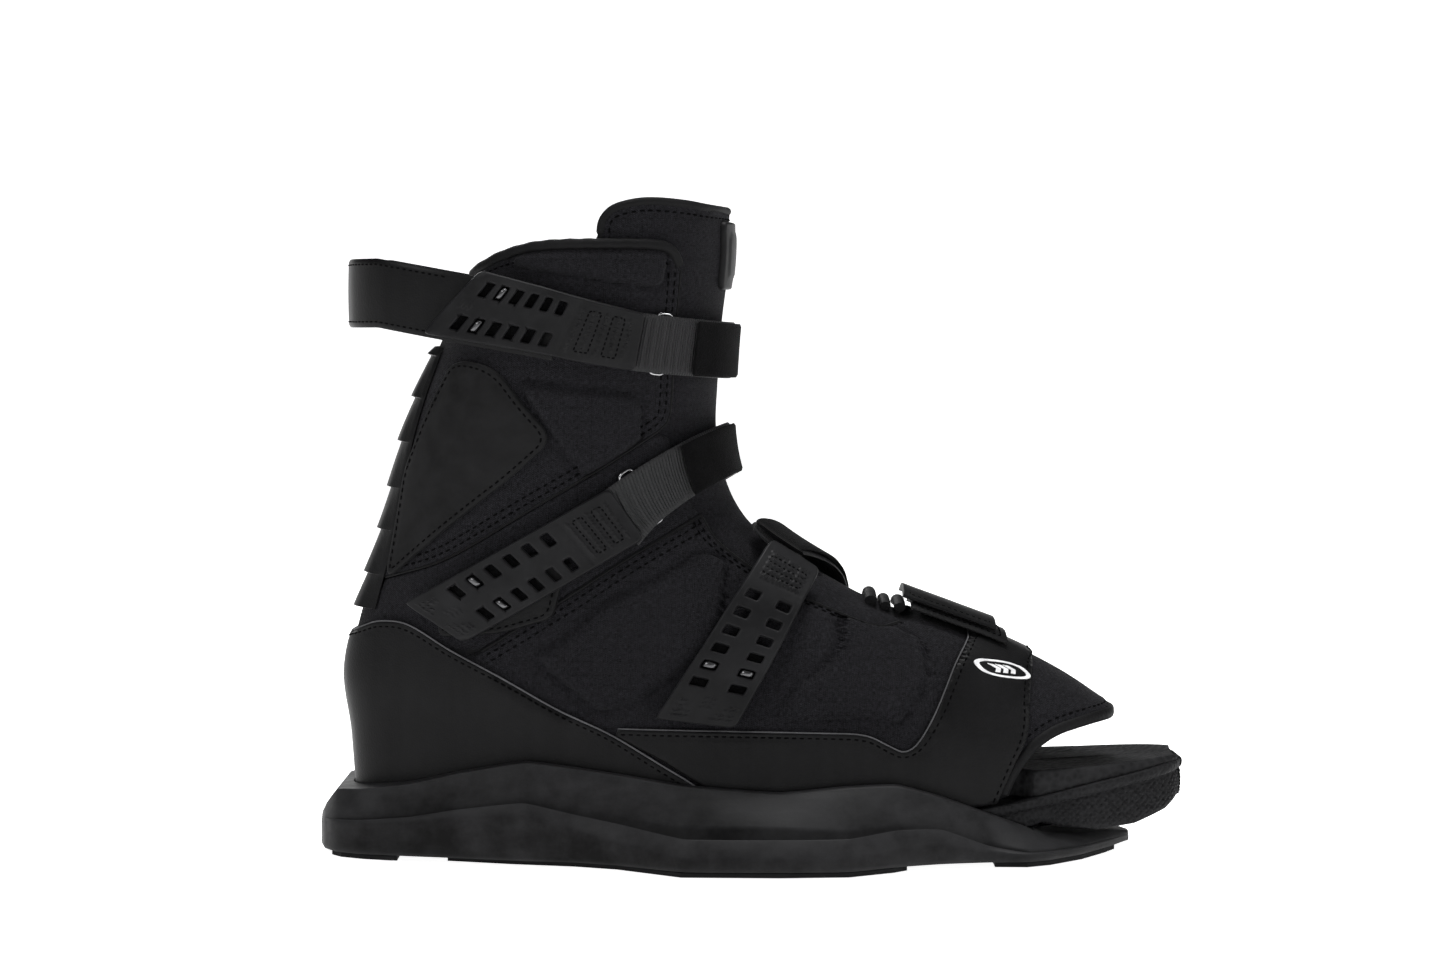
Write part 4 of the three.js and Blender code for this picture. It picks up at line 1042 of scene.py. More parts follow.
def make_cuffs():
    front = joined(curved([*CUFF_FRONT, [-41.5, 163.5]], 2)[:-1], curved([[-41.5, 163.5], *CUFF_SEAM], 2))
    front = laid(front)
    collar = laid(curved(COLLAR, 2)[::-1])
    loop = tidy(joined([[0.35, 104]], [[0.35, 218.4]], collar, front))
    quilts = [[[-97, 221.5], [-104, 226], [-90, 231], [-40, 231], [-42.5, 214], [-60, 216]],
              [[-98.9, 180.2], [-51, 174.6], [-50.5, 157], [-58, 151], [-73, 142.3], [-79, 152]]]
    reliefs = [(laid(rounded(quilt, 5)), *QUILT) for quilt in quilts]
    rows = [inner_row(front, loop, 2.4), inner_row(front, loop, 5.0), inner_row(collar, loop, 3.2)]
    dents = [(row, *SEAM) for row in rows] + [pressed(line) for line, _, _ in reliefs]
    for side in ("lateral", "medial"):
        flip = (lambda line: line) if side == "lateral" else mirrored
        piece = panel(f"cuff_{side}_cloth", [flip(loop)], SHELL, (1.8, 1.4), CLOTH,
                      reliefs=[(flip(a), b, c) for a, b, c in reliefs],
                      dents=[(flip(a), b, c) for a, b, c in dents])
        dressed(piece, "boot", f"cuff_{side}")
        dressed(piping(f"cuff_edge_{side}", flip(front), SHELL[1] - 0.5, 0.5, BINDING), "boot")
        for row in rows:
            stitch_flat("stitching_cuff", flip(row), SHELL[1] - 0.22)


make_lower_shell()
make_gusset()
make_cuffs()

# ---------------------------------------------------------------- overlays
COUNTER_EDGE = [[-18, FLOOR], [-30, 27.7], [-44, 36.4], [-63, 47.6], [-82, 56.3], [-104, 68.3],
                [-123, 78], [-140, 87.4], [-151, 88], [-159, 85]]
RAND_EDGE = [[72, 81.5], [66.5, 73], [58, 54.4], [51.5, 44], [46.7, 41.4], [41.5, 43.4],
             [34, 47], [26, 48.2], [-60, 49.8]]
RAND_FRONT = [[96.8, 72], [95, 63], [93.4, 46.6], [88, 35], [82, 21.4]]
RAND_REAR = [[-61, 47], [-43, 37.4], [-29, 28.6], [-16.6, FLOOR]]
PATCH_OUTLINE = [[-122, 188], [-106, 185], [-84, 158], [-100, 143.5], [-126, 123],
                 [-149, 103], [-141, 147]]
STRAP_BASE = [[-128, 92], [-128, 83], [-104, 85], [-84, 91], [-82, 101], [-76, 112], [-92, 116]]
SPINE_HALF = 17.0
SPINE_TEETH = [192, 188.5, 172.5, 155.8, 138.4, 122.2, 105.4, 92.4]


OVERLAY_STITCH = {"pitch": 2.9, "length": 2.1, "radius": 0.33}
STITCH_INSET = 2.2


def stitched_overlay(name, loop, edge_line, step, look, nodes):
    row = inner_row(edge_line, loop, STITCH_INSET)
    piece = panel(name, [loop], OVERLAY, step, look, soft=0.9, dents=[(row, *OVERLAY_SEAM)])
    dressed(piece, "boot", *nodes)
    stitch_flat(f"stitching_{nodes[0]}", row, OVERLAY[1] - 0.15, **OVERLAY_STITCH)
    return piece


def make_counter():
    edge = joined(laid(curved(COUNTER_EDGE, 2)), at_heel(82.8))
    loop = joined(edge, mirrored(edge, behind=True)[1:])
    floor = straight([loop[-1], loop[0]], 3)[1:-1]
    whole = tidy(joined(loop, floor))
    stitched_overlay("heel_counter_leather", whole, loop, (2.2, 2.0), SYNTHETIC,
                     ["heel_counter"])
    dressed(piping("heel_counter_edge", loop, OVERLAY[1] - 0.55, 0.34), "boot")


def make_rand():
    front = joined(at_toe(74.6), laid(curved(RAND_FRONT, 2)))
    floor = straight([laid([RAND_FRONT[-1]])[0], laid([[53, FLOOR]])[0], laid([[-16.6, FLOOR]])[0]], 3)
    rear = laid(straight(RAND_REAR, 2)[::-1])
    edge = joined(laid(curved(RAND_EDGE, 1.5)[::-1]), at_toe(84.8))
    lateral = joined(front, floor[1:-1], rear, edge)
    whole = both_sides(lateral)
    both = joined(edge, mirrored(edge)[1:])
    stitched_overlay("toe_rand_leather", whole, both, (1.6, 1.2), SYNTHETIC,
                     ["toe_rand"])
    for line in (front, mirrored(front)):
        row = inner_row(line, whole, 2.0)
        stitch_flat("stitching_toe_rand", row, OVERLAY[1] - 0.05, **OVERLAY_STITCH)
    dressed(piping("toe_rand_edge", both, OVERLAY[1] - 0.55, 0.3), "boot")


def make_patches():
    outline = laid(rounded(closed_line(PATCH_OUTLINE, 200), 7, steps=6))
    outline = closed_line(outline, 1.5)
    for side in ("lateral", "medial"):
        loop = outline if side == "lateral" else mirrored(outline)
        row = inner_row(loop, loop, 2.0, closed=True)
        row = joined(row, row[:1])
        piece = panel(f"ankle_patch_{side}_leather", [loop], OVERLAY, (1.8, 1.6), PATCH,
                      soft=0.9, dents=[(row, *OVERLAY_SEAM)])
        dressed(piece, "boot", f"ankle_patch_{side}")
        stitch_flat(f"stitching_ankle_patch_{side}", row, OVERLAY[1] - 0.15, **OVERLAY_STITCH)


def make_strap_base():
    """Stitched flap under the middle ladder, with a rounded end that shows below it."""
    loop = closed_line(laid(rounded(STRAP_BASE, 4, steps=6)), 1.5)
    row = inner_row(loop, loop, 2.0, closed=True)
    row = joined(row, row[:1])
    piece = panel("strap_base_leather", [loop], OVERLAY, (1.8, 1.6), SYNTHETIC,
                  soft=0.9, dents=[(row, *OVERLAY_SEAM)])
    dressed(piece, "boot")
    stitch_flat("stitching_strap_base", row, OVERLAY[1] - 0.15, **OVERLAY_STITCH)


def make_spine():
    """Overlapping scales down the back, each lower edge standing proud."""
    levels = []
    for high, low in zip(SPINE_TEETH[:-1], SPINE_TEETH[1:]):
        run = np.linspace(high - 0.25, low, max(int((high - low) / 1.1), 4))
        levels += [(z, (high - z) / (high - low)) for z in run]
    turn_at = lambda z: float(np.arcsin(min((SPINE_HALF / float(value_at(HALF_WIDTH, z))) ** 1.1, 1.0)))
    columns = 33
    rings = []
    for z, fall in levels:
        swing = np.linspace(-1, 1, columns)
        flat = np.stack([swing * turn_at(z) * TURN, np.full(columns, z)], axis=1)
        fade = smooth((1 - np.abs(swing)) / 0.45)
        rise = 0.35 + 0.8 * smooth((1 - np.abs(swing)) / 0.08) + (0.15 + 1.75 * fall) * fade
        outer = on_boot(flat, OVERLAY[0] + rise)
        inner = on_boot(flat, OVERLAY[0])[::-1]
        rings.append(np.concatenate([outer, inner]))
    piece = loft("spine_scales", rings, SYNTHETIC)
    piece.data.set_sharp_from_angle(angle=math.radians(35))
    dressed(piece, "boot", "spine")


make_counter()
make_rand()
make_patches()
make_strap_base()
make_spine()

# ---------------------------------------------------------------- tongue, liner and bindings
TONGUE_EDGE = [[34, 81.5], [12, 87], [-12, 101], [-34, 121], [-50, 142], [-56, 166], [-61, 195],
               [-66.5, 225], [-67, 238], [-63, 243.5], [-56, 246], [-47, 247], [-33, 246.2], [-24, 245]]
LINER_FRONT = [[-90, 228], [-83, 228.2], [-82, 226], [-71, 195], [-62, 166], [-55, 142],
               [-38, 117.5], [-14, 96.5], [11, 83], [33, 77.5], [46, 80]]
LINER_TOE = [[81.5, 22.4], [86, 33.6], [92, 42], [97.5, 47], [104.5, 51], [112.5, 53.4],
             [121, 55.2], [127, 55.8]]


def padded_swell(piece, reach, quality):
    """Cloth simulation: the pad's cover swells under pressure, at most by the reach."""
    remesh = piece.modifiers.new("remesh", "REMESH")
    remesh.mode = "VOXEL"
    remesh.voxel_size = quality
    bake(piece)
    start = np.zeros(len(piece.data.vertices) * 3)
    piece.data.vertices.foreach_get("co", start)
    cloth = piece.modifiers.new("cloth", "CLOTH")
    cloth.settings.use_pressure = True
    cloth.settings.uniform_pressure_force = 4.0
    cloth.settings.effector_weights.gravity = 0.0
    cloth.point_cache.frame_start, cloth.point_cache.frame_end = 1, 20
    for step in range(1, 21):
        bpy.context.scene.frame_set(step)
    bake(piece)
    bpy.context.scene.frame_set(1)
    end = np.zeros(len(start))
    piece.data.vertices.foreach_get("co", end)
    move = (end - start).reshape(-1, 3)
    length = np.linalg.norm(move, axis=1, keepdims=True)
    capped = move * np.minimum(1, reach / np.maximum(length, 1e-9))
    piece.data.vertices.foreach_set("co", (start.reshape(-1, 3) + capped).ravel())
    finer = piece.modifiers.new("finer", "SUBSURF")
    finer.levels = finer.render_levels = 1
    bake(piece)
    piece.data.shade_smooth()


def make_tongue():
    edge = laid(curved(TONGUE_EDGE, 2))
    loop = both_sides(joined(at_toe(93.0), edge, at_toe(244)))
    pad = panel("tongue_foam", [loop], PAD, (2.4, 2.0), LINING, soft=1.6)
    padded_swell(pad, 0.0012, 0.0022)
    dressed(pad, "tongue", "tongue_pad")
    edges = joined(edge, at_toe(244.6))
    rows = [inner_row(edges, loop, 4.2)]
    rows += [mirrored(rows[0])]
    skin = panel("tongue_cloth", [loop], TONGUE_SKIN, (2.2, 1.6), CLOTH, soft=1.2,
                 dents=[(row, 0.35, 0.8) for row in rows])
    dressed(skin, "tongue", "tongue_skin")
    for row in rows:
        stitch_flat("stitching_tongue", row, TONGUE_SKIN[1] - 0.2)
    rim = joined(edges[len(edges) // 3:], mirrored(edges)[1:-(len(edges) // 3)])
    rim = inner_row(rim, loop, 0.8)
    route = on_boot(rim, (TONGUE_SKIN[0] + TONGUE_SKIN[1]) / 2)
    dressed(tube("tongue_binding", route, 1.7, BINDING), "tongue")
    patch = [[TOE - 23, 213.5], [TOE + 23, 213.5], [TOE + 25, 239.5], [TOE - 25, 239.5]]
    patch = closed_line(rounded(patch, 4), 1.5)
    raised = [[TOE - 18, 218], [TOE + 18, 218], [TOE + 19, 235], [TOE - 19, 235]]
    raised = closed_line(rounded(raised, 4), 1.5)
    piece = panel("tongue_patch_rubber", [patch], (TONGUE_SKIN[1] + 0.1, TONGUE_SKIN[1] + 2.2), (1.5, 1.5),
                  TPU, soft=1.0, reliefs=[(raised, 0.5, 0.8)])
    dressed(piece, "tongue", "tongue_patch")


def make_liner():
    floor = straight([[HEEL, FLOOR], laid([[53, FLOOR]])[0]], 4)
    toe = joined(laid(curved(LINER_TOE, 2)), at_toe(56.2))
    rim = joined(at_toe(90.5), laid(curved(LINER_FRONT[::-1], 2)),
                 laid(curved([[-90, 228], [-104, 225], [-114, 220.6]], 2))[1:], at_heel(218))
    lateral = joined(floor, toe)
    loop = tidy(joined(lateral, mirrored(lateral)[1:], mirrored(rim), rim[1:]))
    piece = panel("liner_foam", [loop], LINER, (3.2, 2.6), LINING, soft=2.2, edge=0.5)
    padded_swell(piece, 0.0012, 0.003)
    dressed(piece, "boot", "liner")


def make_bindings():
    collar = joined(laid(curved([[-36.6, 221], *COLLAR], 2)), at_heel(219.2))
    line = joined(collar, mirrored(collar, behind=True)[1:])
    route = on_boot(line, -1.6)
    wrinkle = 0.12 * np.sin(np.arange(len(route)) * 1.7)
    route[:, 2] += 1.6 + wrinkle
    dressed(tube("collar_tape", route, 2.1, BINDING, sides=12), "boot", "collar_binding")
    edge = joined(laid(curved([[84.5, 26], [88, 33.6], [93.5, 41.3], [98.5, 45.9], [105, 49.6], [113, 52],
                               [121.5, 53.8], [127.5, 54.6]], 1.5)), at_toe(54.9))
    line = joined(edge, mirrored(edge)[1:])
    route = on_boot(line, -1.5)
    route[:, 2] -= 1.2
    piece = tube("toe_tape", route, 2.3, BINDING, sides=12)
    dressed(piece, "boot", "toe_binding")


make_tongue()
make_liner()
make_bindings()

# ---------------------------------------------------------------- straps
WEBBING_WIDTH = 22.0
WEBBING_THICKNESS = 1.4
LADDER_LIFT, LADDER_THICKNESS = 3.5, 2.0
GAP = 0.35
WEBBING_FROM, WEBBING_TO = -0.02, 0.985
RING_BAR = 2.4
FOLD_RADIUS, FOLD_SHARE = 2.9, 0.4      # turn round the bar, and how far round the tail goes (half turns)
RING_INNER = (WEBBING_WIDTH + 3, 11)
LOOP_PLAN = [[-84, -45.4], [-97, -43], [-112, -40.5], [-130, -37.2], [-148, -29.5], [-159, -17], [-163, 0]]
LOOP_HEIGHTS = (200, 226)
LOOP_THICKNESS = 1.3
LOOP_FALL, LOOP_FALL_FROM = 0.2, -150
STRAPS = [
    {"name": "top", "ladder": [[-111, 221], [-51, 205.5], [-55, 184], [-133, 197.5]], "rides": True,
     "slots": (0.12, 0.56), "front": (201.5, 180), "ring": (-66, 194), "tail_end": 0.2},
    {"name": "mid", "ladder": [[-139, 95.5], [-64, 140], [-51, 120], [-117, 81.5]], "rides": False,
     "slots": (0.2, 0.66), "front": (163, 143), "ring": (-70, 122), "tail_end": 0.2},
    {"name": "low", "ladder": [[-46, 54], [-5, 116.5], [14, 104.5], [-16, 50.5]], "rides": False,
     "slots": (0.24, 0.74), "front": (121.5, 108.5), "ring": (-16, 78), "tail_end": 0.12},
]
LOOP_HALF = curved(LOOP_PLAN, 1.0)


def ladder_place(strap):
    back_top, front_top, front_low, back_low = (np.array(c, float) for c in strap["ladder"])

    def place(u, v, distance):
        u, v = np.reshape(u, (-1, 1)), np.reshape(v, (-1, 1))
        low = back_low + (front_low - back_low) * u
        side = low + (back_top + (front_top - back_top) * u - low) * v
        x, z = side[:, 0], side[:, 1]
        points = on_boot(np.stack([angle_at(x, z) * TURN, z], axis=1), distance)
        if strap["rides"]:
            blend = smooth((-x - 74) / 16)[:, None]
            at = np.clip(-x, 84, 162)
            y = np.interp(at, -LOOP_HALF[:, 0], LOOP_HALF[:, 1]) - LOOP_THICKNESS - distance + 1
            beside = np.stack([x, y * np.ones(len(x)), z], axis=1)
            points = points * (1 - blend) + beside * blend
        return points

    length = np.linalg.norm((front_top + front_low - back_top - back_low) / 2)
    width = np.linalg.norm((front_top + back_top - front_low - back_low) / 2)
    return place, length, width


def emblem_loops(centre, size):
    """Plain three-chevron emblem, as closed outlines."""
    loops = []
    for k in (-1, 0, 1):
        x = centre[0] + 0.34 * k * size
        arm, bar = 0.42 * size, 0.11 * size
        loops.append(np.array([[x - bar, centre[1] - arm], [x + bar, centre[1] - arm],
                               [x + bar + 0.2 * size, centre[1]], [x + bar, centre[1] + arm],
                               [x - bar, centre[1] + arm], [x - bar + 0.2 * size, centre[1]]]))
    return loops


def make_ladder(strap):
    """Moulded ladder: rounded plate with two rows of slots, rim line, stitched front zone
    with ribs, and a hatched rear tip."""
    whole, length, width = ladder_place(strap)
    place = lambda flat, distance: whole(flat[:, 0] / length, flat[:, 1] / width, distance)
    rim_inset = 1.4
    outline = closed_line(rounded(rectangle(0, length, 0, width), 2.4), 1.2)
    first, last = strap["slots"]
    slots, posts = [], []
    for v in (0.24, 0.76):
        for k in range(6):
            s, t = length * (first + (last - first) * k / 5), width * v
            box = rounded(rectangle(s - 1.5, s + 1.5, t - 2.7, t + 2.7), 0.55, steps=3)
            slots.append(closed_line(box, 0.5))
            if k == 1:
                posts.append((s, t))
    inner = rounded(rectangle(rim_inset, length - rim_inset, rim_inset, width - rim_inset), 2.0)
    front = length * (last + 0.085)
    dents = [(joined(inner, inner[:1]), 0.22, 0.3), ([[front, 1.6], [front, width - 1.6]], 0.4, 0.35)]
    ribs = []
    pitch = (length - 2.6 - front) / 5
    for k in range(5):
        s = front + pitch * (k + 0.5)
        ribs.append(rounded(rectangle(s - 0.5, s + 0.5, 3.4, width - 3.4), 0.5))
    for k in range(4):
        s, reach = 2.6 + 1.9 * k, width * (0.3 - 0.05 * k)
        if strap["name"] != "top":
            ribs.append(rounded(rectangle(s, s + 0.8, 2.4, 2.4 + reach), 0.4))
            ribs.append(rounded(rectangle(s, s + 0.8, width - 2.4 - reach, width - 2.4), 0.4))
    marks = emblem_loops((length * first * 0.42 + 1.6, width * 0.5), 5.2)
    reliefs = [(rib, 0.6, 0.4) for rib in ribs] + [(mark, 0.3, 0.3) for mark in marks]
    fine = [closed_line(r, 0.8) for r in ribs] + [closed_line(m, 0.6) for m in marks]
    lift, thick = LADDER_LIFT, LADDER_THICKNESS
    piece = panel(f"ladder_{strap['name']}_tpu", [outline, *slots], (lift, lift + thick), (0.9, 0.9),
                  TPU, place=place, soft=0.7, reliefs=reliefs, dents=dents,
                  layout=lambda flat: flat, fine=fine)
    dressed(piece, "boot", f"ladder_{strap['name']}")
    for k in (0, 2):
        left, right = front + pitch * (k + 1.0), front + pitch * (k + 2.0)
        box = straight([*rectangle(left, right, 4.2, width - 4.2), [left, 4.2]], 0.8)
        stitch_flat(f"stitching_ladder_{strap['name']}", box, lift + thick + 0.05, place=place,
                    pitch=1.9, length=1.4, radius=0.26)
    make_posts(strap, place, posts)


def make_posts(strap, place, posts):
    """Rounded pegs that hold the ladder, seen through its slots."""
    for index, (s, t) in enumerate(posts):
        rings = []
        for angle in np.linspace(-math.pi / 2, math.pi / 2, 9):
            turn = np.linspace(0, 2 * math.pi, 20, endpoint=False)
            bulge = max(math.cos(angle), 0.02) ** 0.45
            square = lambda values: np.sign(values) * np.abs(values) ** 0.55
            flat = np.stack([s + 1.25 * bulge * square(np.cos(turn)),
                             t + 2.35 * bulge * square(np.sin(turn))], axis=1)
            rings.append(place(flat, LADDER_LIFT + 1.0 + 2.1 * math.sin(angle)))
        piece = loft(f"post_{strap['name']}_{index + 1}_peg", rings, STEEL)
        dressed(piece, "boot", f"post_{strap['name']}_{index + 1}")


def webbing_place(strap):
    _, front_top, front_low, _ = strap["ladder"]
    ring_x, ring_z = strap["ring"]
    slant = ((front_top[0] - front_low[0]) / 2, (front_top[1] - front_low[1]) / 2)
    start = [angle_at(*front_top), front_top[1], angle_at(*front_low), front_low[1]]
    middle = [math.pi, strap["front"][0], math.pi, strap["front"][1]]
    end = [angle_at(ring_x + slant[0], ring_z + slant[1], -1), ring_z + slant[1],
           angle_at(ring_x - slant[0], ring_z - slant[1], -1), ring_z - slant[1]]
    corners = np.array([start, middle, end], float)

    def place(u, v, distance):
        u, v = np.asarray(u, float), np.asarray(v, float)
        weights = np.stack([(1 - u) * (1 - 2 * u), 4 * u * (1 - u), u * (2 * u - 1)], axis=-1)
        row = weights @ corners
        phi = row[..., 2] + (row[..., 0] - row[..., 2]) * v
        z = row[..., 3] + (row[..., 1] - row[..., 3]) * v
        return on_boot(np.stack([phi * TURN, z], axis=-1).reshape(-1, 2), distance)

    return place


def webbing_lie(u):
    """Lift of the visible webbing, which comes out from under the ladder."""
    return 1.9 - 1.3 * smooth(np.asarray(u, float) / 0.26)


def webbing_lift(u):
    return LADDER_LIFT + (0.6 - LADDER_LIFT) * smooth(np.asarray(u, float) / 0.26)


def frame_on(place, u, v, distance, ahead):
    at = place([u], [v], distance)[0]
    along = unit(place([u + ahead], [v], distance)[0] - at)
    out = place([u], [v], distance + 1)[0] - at
    out = unit(out - along * np.dot(out, along))
    across = np.cross(out, along)
    return at, along, across, out


def in_frame(seat, points):
    at, along, across, out = seat
    points = np.asarray(points, float)
    return at + points[:, :1] * along + points[:, 1:2] * across + points[:, 2:3] * out


def strap_length(place, start, end):
    at = np.linspace(start, end, 60)
    line = place(at, np.full(60, 0.5), 2.0)
    return np.sum(np.linalg.norm(np.diff(line, axis=0), axis=1))


def make_webbing(strap):
    whole = webbing_place(strap)
    along = lambda u: WEBBING_FROM + (WEBBING_TO - WEBBING_FROM) * np.asarray(u, float)
    length = strap_length(whole, WEBBING_FROM, WEBBING_TO)
    piece = ribbon(f"webbing_{strap['name']}_cloth", lambda u, v, d: whole(along(u), v, d),
                   lambda u: webbing_lie(along(u)), WEBBING_THICKNESS, (length, WEBBING_WIDTH), WEBBING,
                   (int(length / 0.3), 20), ribs=0.2, rib_pitch=1.3)
    dressed(piece, "boot", f"webbing_{strap['name']}")
    return piece, length


def wire_frame(length, width, corner, seat, name, radius, look, rise):
    corners = rectangle(-length / 2, length / 2, -width / 2, width / 2)
    line = closed_line(rounded(corners, corner, steps=6), 1.0)
    route = in_frame(seat, np.column_stack([line, np.full(len(line), rise)]))
    return tube(name, route, radius, look, sides=12, closed=True, up=seat[3])


def make_ring(strap):
    whole = webbing_place(strap)
    lift = float(webbing_lift(1)) + WEBBING_THICKNESS + GAP + 0.3
    seat = frame_on(whole, 1.0, 0.5, lift, -0.05)
    across, along = RING_INNER
    name = strap["name"]
    piece = wire_frame(along + RING_BAR, across + RING_BAR, 3.0, seat, f"ring_{name}_wire",
                       RING_BAR / 2, STEEL, RING_BAR / 2)
    dressed(piece, f"ring_body_{name}", f"ring_{name}")
    make_ring_tab(strap, seat)
    return make_tail(strap, whole, seat)


def path_place(line, seat, width):
    """Strap whose middle follows a line in the ring's frame (along, out)."""
    knots = lengths(line)
    slope = unit(np.gradient(line, axis=0))

    def place(u, v, distance):
        at = np.asarray(u, float) * knots[-1]
        x, z = (np.interp(at, knots, line[:, k]) for k in (0, 1))
        dx, dz = (np.interp(at, knots, slope[:, k]) for k in (0, 1))
        y = (np.asarray(v, float) - 0.5) * width
        return in_frame(seat, np.column_stack([x - dz * distance, y, z + dx * distance]))

    return place, knots[-1]


def make_ring_tab(strap, seat):
    bar = -(RING_INNER[1] / 2 + RING_BAR / 2)
    radius = RING_BAR * 0.71 + 0.45 + 0.55
    middle = RING_BAR / 2
    turn = np.linspace(-math.pi / 2, 0.86 * math.pi, 24)
    hook = np.stack([bar + radius * np.cos(turn), middle + radius * np.sin(turn)], axis=1)
    line = joined(straight([[-26, middle - radius], [bar, middle - radius]], 1.0)[:-1], hook)
    place, length = path_place(line, seat, WEBBING_WIDTH)
    name = strap["name"]
    piece = ribbon(f"ring_tab_{name}_cloth", place, lambda u: -0.55 + 0 * np.asarray(u), 1.1,
                   (length, WEBBING_WIDTH), WEBBING, (int(length / 0.35), 20), ribs=0.1)
    dressed(piece, "boot", f"ring_tab_{name}")
    box = straight([[-24, -8], [-13, -8], [-13, 8], [-24, 8], [-24, -8]], 0.8)
    route = in_frame(seat, np.column_stack([box, np.full(len(box), middle - radius + 0.6)]))
    stitch(f"stitching_ring_tab_{name}", route, np.broadcast_to(seat[3], route.shape), pitch=2.2, length=1.6)


def make_tail(strap, whole, seat):
    """Hook-and-loop tail: folds round inside the ring and lies back on the webbing."""
    name = strap["name"]
    over = float(webbing_lift(1)) + WEBBING_THICKNESS + RING_BAR + 2 * GAP + 1.3
    lying = WEBBING_THICKNESS + GAP + 0.5
    fold, radius, half = 0.045, FOLD_RADIUS, WEBBING_THICKNESS / 2
    along = lambda u: WEBBING_TO + (strap["tail_end"] - WEBBING_TO) * np.asarray(u, float)
    length = strap_length(whole, strap["tail_end"], WEBBING_TO) + FOLD_SHARE * math.pi * radius

    def place(u, v, distance):
        u = np.asarray(u, float)
        v = 0.02 + 0.96 * np.asarray(v, float)
        distance = np.broadcast_to(distance, u.shape)
        rest = np.clip((u - fold) / (1 - fold), 0, 1)
        lift = over + (webbing_lift(along(rest)) + lying - over) * smooth((rest - 0.1) / 0.22)
        points = whole(along(rest), v, lift + half + distance)
        turn = np.clip((fold - u) / fold, 0, 1) * FOLD_SHARE * math.pi
        _, forward, _, out = seat
        bent = (radius + distance) * (np.cos(turn)) - radius - distance
        points = points + np.outer(bent, out) - np.outer((radius + distance) * np.sin(turn), forward)
        return points

    piece = ribbon(f"tail_{name}_cloth", place, lambda u: -half + 0 * np.asarray(u), WEBBING_THICKNESS,
                   (length, WEBBING_WIDTH), VELVET, (int(length / 1.0), 20))
    dressed(piece, f"tail_body_{name}", f"tail_{name}")
    start = whole([WEBBING_TO], [0.5], over + half)[0] - seat[0]
    return make_fold(name, seat, np.dot(start, seat[1]), np.dot(start, seat[3]) - radius)


def make_fold(name, seat, ahead, out):
    """Lower part of the turn round the ring's bar, which stays with the webbing as the tail peels."""
    turn = np.linspace(-math.pi / 2, -(1.49 - FOLD_SHARE) * math.pi, 16)
    line = np.stack([ahead + FOLD_RADIUS * np.cos(turn), out + FOLD_RADIUS * np.sin(turn)], axis=1)
    place, length = path_place(line, seat, WEBBING_WIDTH * 0.96)
    piece = ribbon(f"webbing_fold_{name}_cloth", place, lambda u: -WEBBING_THICKNESS / 2 + 0 * np.asarray(u),
                   WEBBING_THICKNESS, (length, WEBBING_WIDTH), VELVET, (16, 20))
    return dressed(piece, "boot")


KEEPERS = {"top": (0.085, 0.7), "mid": (0.065, 0.8)}


def make_keeper(strap):
    name = strap["name"]
    along, lift = KEEPERS[name]
    seat = frame_on(webbing_place(strap), along, 0.5, SHELL[1] + lift, 0.02)
    piece = wire_frame(5.5, WEBBING_WIDTH + 0.9, 1.8, seat, f"keeper_{name}_wire", 0.62, WIRE,
                       0.55)
    dressed(piece, "boot", f"keeper_{name}")


def make_pull_loop():
    """Flat strap that stands off behind the cuff, with stitched edges."""
    plan = joined(LOOP_HALF, (LOOP_HALF * [1, -1])[::-1][1:])
    knots = lengths(plan)
    slope = unit(np.gradient(plan, axis=0))
    low, high = LOOP_HEIGHTS

    def place(u, v, distance):
        at = np.asarray(u, float) * knots[-1]
        x, y = (np.interp(at, knots, plan[:, k]) for k in (0, 1))
        dx, dy = (np.interp(at, knots, slope[:, k]) for k in (0, 1))
        sag = 1.2 * np.sin(math.pi * np.asarray(u, float))
        z = low + (high - low) * np.asarray(v, float) - sag + 0.6
        z = z - LOOP_FALL * np.maximum(x - LOOP_FALL_FROM, 0)
        return np.column_stack([x + dy * distance, y - dx * distance, z])

    if place([0.5], [0.5], 1.0)[0][0] > place([0.5], [0.5], 0.0)[0][0]:
        outer = lambda u, v, d: place(u, v, -np.asarray(d))
    else:
        outer = place
    width, length = high - low, knots[-1]
    piece = ribbon("pull_loop_strap", outer, lambda u: 0 * np.asarray(u), LOOP_THICKNESS,
                   (length, width), SYNTHETIC, (160, 26), bulge=0.35)
    dressed(piece, "pull_loop", "rear_loop")
    u = np.linspace(0.2, 0.97, 160)
    for row in (0.085, 0.915):
        v = np.full(len(u), row)
        route = outer(u, v, LOOP_THICKNESS + 0.1)
        normals = route - outer(u, v, LOOP_THICKNESS - 0.9)
        stitch("stitching_pull_loop", route, normals, pitch=2.6, length=1.8, radius=0.3)


for strap in STRAPS:
    make_ladder(strap)
    webbing, length = make_webbing(strap)
    fold = make_ring(strap)
    if strap["name"] in KEEPERS:
        make_keeper(strap)
    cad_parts[f"anchor_{strap['name']}"].data.materials.clear()
    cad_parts[f"anchor_{strap['name']}"].data.materials.append(VELVET)
make_pull_loop()


